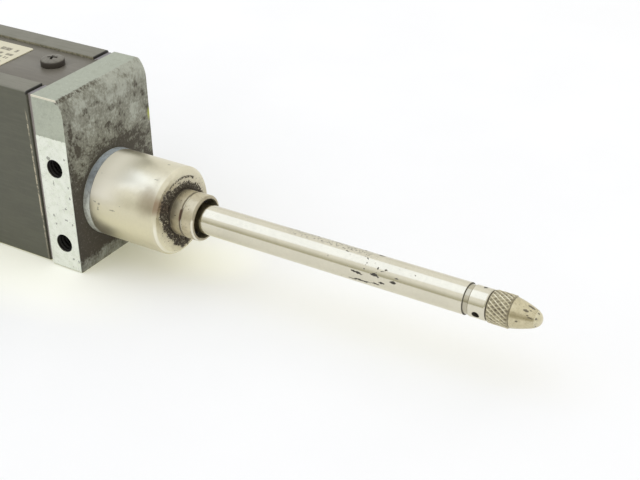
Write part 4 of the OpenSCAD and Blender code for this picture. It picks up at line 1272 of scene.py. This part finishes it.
@dataclass
class FrontEnd(Assembly):
    """The end plate with its boss, the turned stem and the nose bush.

    Attributes:
        plate_edge: the rounding of the casting's edges.
        stem_r: the stem's radius.
        stem_len: how far the stem stands out.
        spigot_r: the radius of the stem's part inside the plate.
        seat_r: the radius at which the nose bush sits in the stem.
        chamfer: the stem's front chamfer.
        rings_x: where the stem's surface is divided along.
        face_rings: how many rings its end face has, for the crust, and how far they are apart.
        nose_r: the nose bush's radius.
        nose_less: how much smaller the radius of its rear part is.
        nose_step: how far its step lies from the stem's face.
        groove_x: where the groove starts, its floor ends and it ends, from the step.
        groove_depth: how deep it is.
        nose_x1: where the nose bush ends.
        nose_chamfer: its front chamfer.
        recess_r: the radius of its dust recess.
        recess_len: how deep the recess is.
        bore_r: the radius of its bore.
        crust_h: how high the crust on the stem's face stands.
    """

    plate_edge: float = 0.22
    stem_r: float = 7.5
    stem_len: float = 13.5
    spigot_r: float = 6.0
    seat_r: float = 3.5
    chamfer: float = 0.6
    rings_x: tuple[float, ...] = (0.0, 0.8, 2.0, 6.5, 11.0)
    face_rings: tuple[int, float] = (21, 0.15)
    nose_r: float = 3.9
    nose_less: float = 0.05
    nose_step: float = 2.4
    groove_x: Place = (-0.1, 0.12, 0.35)
    groove_depth: float = 0.25
    nose_x1: float = 18.5
    nose_chamfer: float = 0.3
    recess_r: float = 3.35
    recess_len: float = 3.6
    bore_r: float = 2.7
    crust_h: float = 0.3

    def build(self) -> None:
        """Builds the plate, the stem, the nose bush and the wiper."""
        self.copies({"front_end_plate": self.plate_edge})
        self.piece(self.crusted(self.stem()), "stem_sleeve", 0.14, 30.0)
        self.piece(self.nose(), "nose_bush", 0.05, 30.0)
        self.copies({"spindle_wiper": 0.05})

    def stem(self) -> bmesh.types.BMesh:
        """The turned stem with its spigot and bores.

        Returns:
            Its shape, in millimetres.
        """
        rear, web_x = end_x("stem_sleeve"), end_x("bearing_shell", 1)
        shell_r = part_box("bearing_shell")[1].z / MM
        rings, apart = self.face_rings
        rim = self.stem_r - self.chamfer
        return lathe([
            (rear, shell_r), (rear, self.spigot_r), (0.0, self.spigot_r),
            *((x, self.stem_r) for x in (*self.rings_x, self.stem_len - self.chamfer)),
            *((self.stem_len, rim - apart * n) for n in range(rings)),
            (self.stem_len, self.seat_r), (web_x, self.seat_r), (web_x, shell_r),
        ])

    def nose(self) -> bmesh.types.BMesh:
        """The nose bush with its step, its groove and its dust recess.

        Returns:
            Its shape, in millimetres.
        """
        rear, face = end_x("nose_bush"), self.stem_len
        step, recess = face + self.nose_step, self.nose_x1 - self.recess_len
        r, rear_r, groove_r = self.nose_r, self.nose_r - self.nose_less, self.nose_r - self.groove_depth
        start, floor, end = self.groove_x
        return lathe([
            (rear, self.bore_r), (rear, self.seat_r), (face, self.seat_r), (face, rear_r),
            (step + start, rear_r), (step, groove_r), (step + floor, groove_r), (step + end, r),
            (self.nose_x1 - self.nose_chamfer, r), (self.nose_x1, r - self.nose_chamfer),
            (self.nose_x1, self.recess_r), (recess, self.recess_r), (recess, self.bore_r),
        ])

    def crusted(self, shape: bmesh.types.BMesh) -> bmesh.types.BMesh:
        """Marks the stem's edges for rounding, then raises the crust on its end face.

        Args:
            shape: the turned stem, in millimetres.

        Returns:
            The same shape.
        """
        weight = shape.edges.layers.float.new(EDGE_WEIGHT)
        for edge in shape.edges:
            edge[weight] = 1.0 if edge.calc_face_angle(0.0) > math.radians(30.0) else 0.0
        reaches = TurnedSteel.crust_r
        for vertex in shape.verts:
            x, y, z = vertex.co
            radius = math.hypot(y, z)
            if x < self.stem_len - 0.01 or not self.nose_r + 0.05 < radius < self.stem_r - self.chamfer - 0.2:
                continue
            turn = math.degrees(math.atan2(z, -y))
            after = next(n for n, (place, _) in enumerate(reaches) if place >= turn)
            (low, near), (high, far) = reaches[max(after - 1, 0)], reaches[max(after, 1)]
            reach = near + (far - near) * (turn - low) / (high - low) - radius
            rise = min(1.0, max(0.0, reach / 0.5 + noise.noise(Vector((y, z, 0.0)) * 1.6)))
            vertex.co.x += self.crust_h * rise * (0.6 + noise.noise(Vector((y, z, 3.0)) * 2.8))
        return shape


@dataclass
class SpindleSet(Assembly):
    """The spindle with its collar, the knurled contact and its ball tip.

    Attributes:
        body: the body that its pieces ride on.
        rod_r: the spindle's radius.
        rod_chamfer: its rear chamfer.
        collar_x1: where the collar ends.
        collar_len: how long the collar is.
        collar_less: how much smaller the collar's radius is than the rod's.
        groove_w: the width of the groove behind it.
        groove_depth: the groove's depth.
        seat_gap: how far the contact's seat goes on behind its shank.
        hole_r: the cross hole's radius.
        hole_turn: how far the cross hole is turned about the axis.
        grip_r: the knurl's radius.
        grip_x: where the contact's shoulder starts.
        shoulder: how much smaller the shoulder's radius is than the knurl's.
        neck_w: the width of the neck between knurl and cone.
        neck_less: how much smaller its radius is than the cone's.
        cone_x: where the cone starts.
        cone_x1: where the cone ends.
        cone_r: the cone's rear radius.
        cone_swell: how far the cone's flank swells out at its middle.
        tip_r: the ball's radius.
        tip_sunk: how far the ball's middle lies behind the cone's end.
        knurl_rings: how many steps the knurl has along.
        ridges: how many ridges each way go round the knurl.
        ridge_lead: how far round they run for each step along.
        ridge_depth: how deep the knurl is.
    """

    body: Body = Body.SPINDLE
    rod_r: float = 2.5
    rod_chamfer: float = 0.4
    collar_x1: float = 69.7
    collar_len: float = 2.8
    collar_less: float = 0.06
    groove_w: float = 0.8
    groove_depth: float = 0.2
    seat_gap: float = 0.5
    hole_r: float = 0.6
    hole_turn: float = 110.0
    grip_r: float = 2.55
    grip_x: float = 69.85
    shoulder: float = 0.3
    neck_w: float = 0.15
    neck_less: float = 0.12
    cone_x: float = 73.45
    cone_x1: float = 76.85
    cone_r: float = 2.35
    cone_swell: float = 0.09
    tip_r: float = 1.35
    tip_sunk: float = 0.45
    knurl_rings: int = 34
    ridges: int = 23
    ridge_lead: float = 0.62
    ridge_depth: float = 0.2

    def build(self) -> None:
        """Builds the spindle, the contact and its tip."""
        shank_r = self.shank_radius()
        self.piece(self.drilled(self.rod(shank_r)), "spindle", 0.035, 30.0)
        self.piece(self.contact(shank_r), "contact_point", 0.0, 50.0)
        self.piece(lathe(self.arc(0.0, 30, -1)), "contact_tip", 0.0, 60.0)

    def shank_radius(self) -> float:
        """Measures the radius of the contact's shank on the node.

        Returns:
            The radius.
        """
        mesh = frame["nodes"]["contact_point"].data
        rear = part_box("contact_point")[0].x
        widest = max(math.hypot(v.co.y, v.co.z) for v in mesh.vertices if v.co.x < rear + 0.1 * MM)
        return round(widest / MM, 3)

    def rod(self, shank_r: float) -> bmesh.types.BMesh:
        """The turned spindle with its groove, its collar and the seat of the contact.

        Args:
            shank_r: the radius of the seat.

        Returns:
            Its shape, in millimetres.
        """
        rear, seat = end_x("spindle"), end_x("contact_point") - self.seat_gap
        groove = self.collar_x1 - self.collar_len - self.groove_w
        collar, r, collar_r = groove + self.groove_w, self.rod_r, self.rod_r - self.collar_less
        return lathe([
            (rear, 0.0), (rear, r - self.rod_chamfer), (rear + self.rod_chamfer, r),
            *((x, r) for x in range(int(rear) + 2, int(groove), 4)), (groove, r),
            (groove, r - self.groove_depth), (collar, r - self.groove_depth),
            (collar + 0.14, collar_r), (self.collar_x1 - 0.15, collar_r),
            (self.collar_x1, r - 0.2), (self.collar_x1, shank_r), (seat, shank_r), (seat, 0.0),
        ])

    def arc(self, start: float, steps: int, way: int) -> Profile:
        """Points of the ball's outline.

        Args:
            start: the angle that it starts at, in radians from one end of the axis; it ends at the other.
            steps: how many pieces it has.
            way: 1 to start at the tip's end, -1 at the rear.

        Returns:
            The points as (x, radius).
        """
        centre, r = self.cone_x1 - self.tip_sunk, self.tip_r
        angles = [start + (math.pi - start) * n / steps for n in range(steps + 1)]
        return [
            (centre + way * r * math.cos(a), r * math.sin(a) if 0 < a < math.pi - 1e-6 else 0.0)
            for a in angles
        ]

    def drilled(self, shape: bmesh.types.BMesh) -> bmesh.types.BMesh:
        """Drills the tommy-bar hole through the collar.

        Args:
            shape: the rod, in millimetres; it is used up.

        Returns:
            The drilled rod.
        """
        drill = bmesh.new()
        middle = Matrix.Translation((self.collar_x1 - self.collar_len / 2, 0, 0))
        bmesh.ops.create_cone(
            drill, cap_ends=True, segments=40, radius1=self.hole_r, radius2=self.hole_r, depth=4 * self.rod_r,
            matrix=middle @ Matrix.Rotation(math.radians(self.hole_turn), 4, "X"),
        )
        held = [placed(shape, "rod_blank"), placed(drill, "rod_drill")]
        cut = held[0].modifiers.new("hole", "BOOLEAN")
        cut.object, cut.operation, cut.solver = held[1], "DIFFERENCE", "EXACT"
        graph = bpy.context.evaluated_depsgraph_get()
        result = bmesh.new()
        result.from_mesh(held[0].evaluated_get(graph).data)
        for left in held:
            bpy.data.objects.remove(left)
        return result

    def ridge(self, x: float, turn: float) -> float:
        """How far the knurl's surface lies below its top at a place.

        Args:
            x: place along the axis.
            turn: place round the axis, in radians.

        Returns:
            The depth.
        """
        lead = self.ridge_lead * self.ridges / (FULL_TURN * self.grip_r)
        height = 0.0
        for way, share in ((1, 0.6), (-1, 1.0)):
            phase = self.ridges * turn / FULL_TURN + way * lead * x
            off = abs(phase - round(phase))
            height = max(height, share * max(0.0, 1 - off / 0.34))
        return self.ridge_depth * (1 - height)

    def contact(self, shank_r: float) -> bmesh.types.BMesh:
        """The contact: its shank, shoulder, knurled grip and tapered nose.

        Args:
            shank_r: the radius of its shank.

        Returns:
            Its shape, in millimetres.
        """
        rear, grip, neck_r = end_x("contact_point"), self.grip_r, self.cone_r - self.neck_less
        grip_end = self.cone_x - self.neck_w
        step = (grip_end - self.grip_x) / self.knurl_rings
        knurl = [(self.grip_x + step * n, grip) for n in range(self.knurl_rings + 1)]
        long, fall = self.cone_x1 - self.cone_x, self.tip_r - 0.02 - self.cone_r
        taper = [
            (self.cone_x + long * t, self.cone_r + fall * t + self.cone_swell * t * (1 - t) * 4)
            for t in (n / 12 for n in range(13))
        ]
        shape = lathe([
            (rear, 0.0), (rear, shank_r), (self.collar_x1, shank_r), (self.collar_x1, grip - self.shoulder),
            (self.grip_x, grip - self.shoulder), *knurl, (self.cone_x - 0.1, neck_r),
            (self.cone_x - 0.02, neck_r), *taper, *self.arc(math.acos(self.tip_sunk / self.tip_r), 10, 1),
        ], Steps.KNURL)
        for vertex in shape.verts:
            x, y, z = vertex.co
            radius = math.hypot(y, z)
            if radius < grip - 0.01 or not self.grip_x - 0.01 < x < grip_end + 0.01:
                continue
            ends = max(0.0, min(1.0, (x - self.grip_x) / 0.3, (grip_end - x) / 0.25))
            worn = max(0.0, 0.03 * noise.noise(Vector((x, y, z)) * 1.3))
            depth = self.ridge(x, math.atan2(z, y)) * ends + self.shoulder * (1 - ends) ** 2 + worn
            vertex.co.y *= (grip - depth) / radius
            vertex.co.z *= (grip - depth) / radius
        return shape


@dataclass
class Rounded(Assembly):
    """Pieces that have their nodes' shapes, with rounded edges.

    Attributes:
        edges: each node, with the width of its rounded edges.
    """

    edges: dict[str, float] = field(default_factory=dict)

    def build(self) -> None:
        """Builds the pieces from the nodes."""
        self.copies(self.edges)


@dataclass
class Case(Rounded):
    """The folded case with its cover, label, gaskets and cover screws."""

    edges: dict[str, float] = field(default_factory=lambda: {
        "case_shell": 0.12, "top_cover": 0.08, "rating_label": 0.03, "front_gasket": 0.08,
        "rear_gasket": 0.08, "cover_screws": 0.06,
    })


@dataclass
class RearEnd(Rounded):
    """The rear plate with its screws and the cable inlet."""

    edges: dict[str, float] = field(default_factory=lambda: {
        "rear_end_plate": 0.3, "rear_plate_screws": 0.08, "cable_inlet": 0.15, "inlet_grommet": 0.1,
    })


@dataclass
class Mechanism(Assembly):
    """Everything inside, which stays as modelled and gets its finishes."""

    def build(self) -> None:
        """Dresses every node that no finer piece stands for."""
        for node in sorted(node for node, shown in frame["nodes"].items() if not shown.hide_render):
            slots, finish = frame["nodes"][node].data.materials, PAINTS.get(slot_of(node))
            if not len(slots):
                slots.append(finish)
            for number in range(len(slots)):
                slots[number] = finish
            LOG.info("%s: dressed as %s", node, slot_of(node))


@dataclass
class Studio:
    """The camera, the lamps, the surroundings and the table.

    Attributes:
        station: where the camera stands.
        target: what it looks at.
        roll: its roll, in degrees.
        lens: its focal length on a 36 mm wide sensor.
        reach: how near and how far it sees, in metres.
        floor_z: the table's height.
        floor_side: the table's width.
        sky_low: the surroundings' colour towards the room.
        sky_high: their colour above and behind.
        rise: the heights between which the one turns into the other.
        behind: the same towards the back, and how far it goes there.
        paper: the table's two colours.
        glow: the colour of the table's own light, and how strong it is.
        pale: painted light on the table, paler patches that lift its shadows, as x, y, half lengths and
            share.
        lamp_at: where the lamp hangs.
        lamp_side: how wide it is.
        lamp_light: how bright its face is, where 1 is white.
        lamp_target: what it faces.
    """

    station: Place = (136.346, -148.856, 105.111)
    target: Place = (38.186, 3.467, 0.0)
    roll: float = -1.2402
    lens: float = 74.568
    reach: tuple[float, float] = (0.01, 40.0)
    floor_z: float = -11.5
    floor_side: float = 30000.0
    sky_low: Colour = (0.54, 0.53, 0.425)
    sky_high: Colour = (1.02, 1.02, 1.01)
    rise: tuple[float, float] = (0.05, 0.6)
    behind: Place = (-0.2, 0.9, 0.8)
    paper: tuple[Colour, Colour] = ((0.78, 0.78, 0.88), (0.80, 0.80, 0.90))
    glow: tuple[Colour, float] = ((1.0, 0.98, 0.40), 0.18)
    pale: tuple[tuple[float, ...], ...] = (
        (-18.0, -15.0, 34.0, 12.0, 0.13), (16.0, 6.0, 12.0, 9.0, 0.1), (45.0, 5.0, 45.0, 16.0, 0.035),
    )
    lamp_at: Place = (-249.0, -104.0, 540.0)
    lamp_side: float = 560.0
    lamp_light: Colour = (0.34, 0.415, 0.60)
    lamp_target: Place = (30.0, 0.0, 0.0)

    def build(self) -> None:
        """Sets up the whole studio."""
        bpy.context.scene.view_settings.view_transform = "Standard"
        self.camera()
        self.table()
        self.sky()
        self.lamp()

    def camera(self) -> None:
        """Sets the camera where the photograph was taken."""
        eye = Vector(self.station)
        forward = (Vector(self.target) - eye).normalized()
        right = forward.cross(Vector((0, 0, 1))).normalized()
        turn = math.radians(self.roll)
        rolled = right * math.cos(turn) + right.cross(forward) * math.sin(turn)
        data = bpy.data.cameras.new("camera")
        data.lens = self.lens
        data.clip_start, data.clip_end = self.reach
        made = linked(bpy.data.objects.new("camera", data))
        axes = Matrix((rolled, rolled.cross(forward), -forward)).transposed().to_4x4()
        made.matrix_world = Matrix.Translation(eye * MM) @ axes
        bpy.context.scene.camera = made

    def table(self) -> None:
        """Lays the pale table under the sensor."""
        sheet = bmesh.new()
        bmesh.ops.create_grid(sheet, x_segments=1, y_segments=1, size=self.floor_side * MM / 2)
        bmesh.ops.translate(sheet, vec=(0, 0, self.floor_z * MM), verts=sheet.verts)
        made = placed(sheet, "table_top")
        shade = Shade("table_paper")
        shade.colour = shade.mix(shade.cloud(40.0, 3.0).ramp(0.3, 0.7), *self.paper)
        shade.rough = 0.9
        shade.put(shade.cloud(0.5, 2.0), 0.002)
        path = shade.node("ShaderNodeLightPath", {}).outputs
        seen = shade.most(path["Is Camera Ray"], path["Is Glossy Ray"], path["Is Transmission Ray"])
        # Painted light: paler patches lift the table's shadows.
        paler = shade.most(*(
            shade.spot(shade.place, (x, y, self.floor_z), (along, across, FAR), 0.2) * share
            for x, y, along, across, share in self.pale
        ))
        colour, strength = self.glow
        shade.feed(shade.shader.inputs["Emission Color"], (*colour, 1.0))
        shade.feed(shade.shader.inputs["Emission Strength"], seen * (paler + strength))
        made.data.materials.append(shade.material)

    def sky(self) -> None:
        """Surrounds the scene: dim towards the room, bright above and behind."""
        world = bpy.data.worlds.new("studio_room")
        bpy.context.scene.world = world
        world.use_nodes = True
        tree = Nodes(world.node_tree)
        _, y, z = tree.parts(tree.node("ShaderNodeTexCoord", {}).outputs["Generated"])
        back_start, back_end, back_share = self.behind
        share = tree.most(z.ramp(*self.rise), y.ramp(back_start, back_end, 0.0, back_share))
        colour = tree.mix(share, self.sky_low, self.sky_high)
        background = tree.node("ShaderNodeBackground", {"Color": colour})
        tree.node("ShaderNodeOutputWorld", {"Surface": background.outputs[0]})

    def lamp(self) -> None:
        """Hangs a square soft lamp over the table, facing the sensor."""
        data = bpy.data.lights.new("overhead", "AREA")
        data.shape = "SQUARE"
        data.size = self.lamp_side * MM
        data.energy = data.size ** 2 * math.pi
        data.color = self.lamp_light
        made = linked(bpy.data.objects.new("overhead", data))
        facing = (Vector(self.lamp_target) - Vector(self.lamp_at)).to_track_quat("-Z", "Y")
        made.matrix_world = Matrix.Translation(Vector(self.lamp_at) * MM) @ facing.to_matrix().to_4x4()


def main() -> None:
    """Builds the studio and each sub-assembly in order, and reports the pieces."""
    logging.basicConfig(level=logging.INFO, format="%(name)s: %(message)s")
    Studio().build()
    for assembly in (FrontEnd(), SpindleSet(), Case(), RearEnd(), Mechanism()):
        assembly.build()
        LOG.info("%s made %d pieces", type(assembly).__name__, len(assembly.made))


if __name__ == "__main__":
    main()
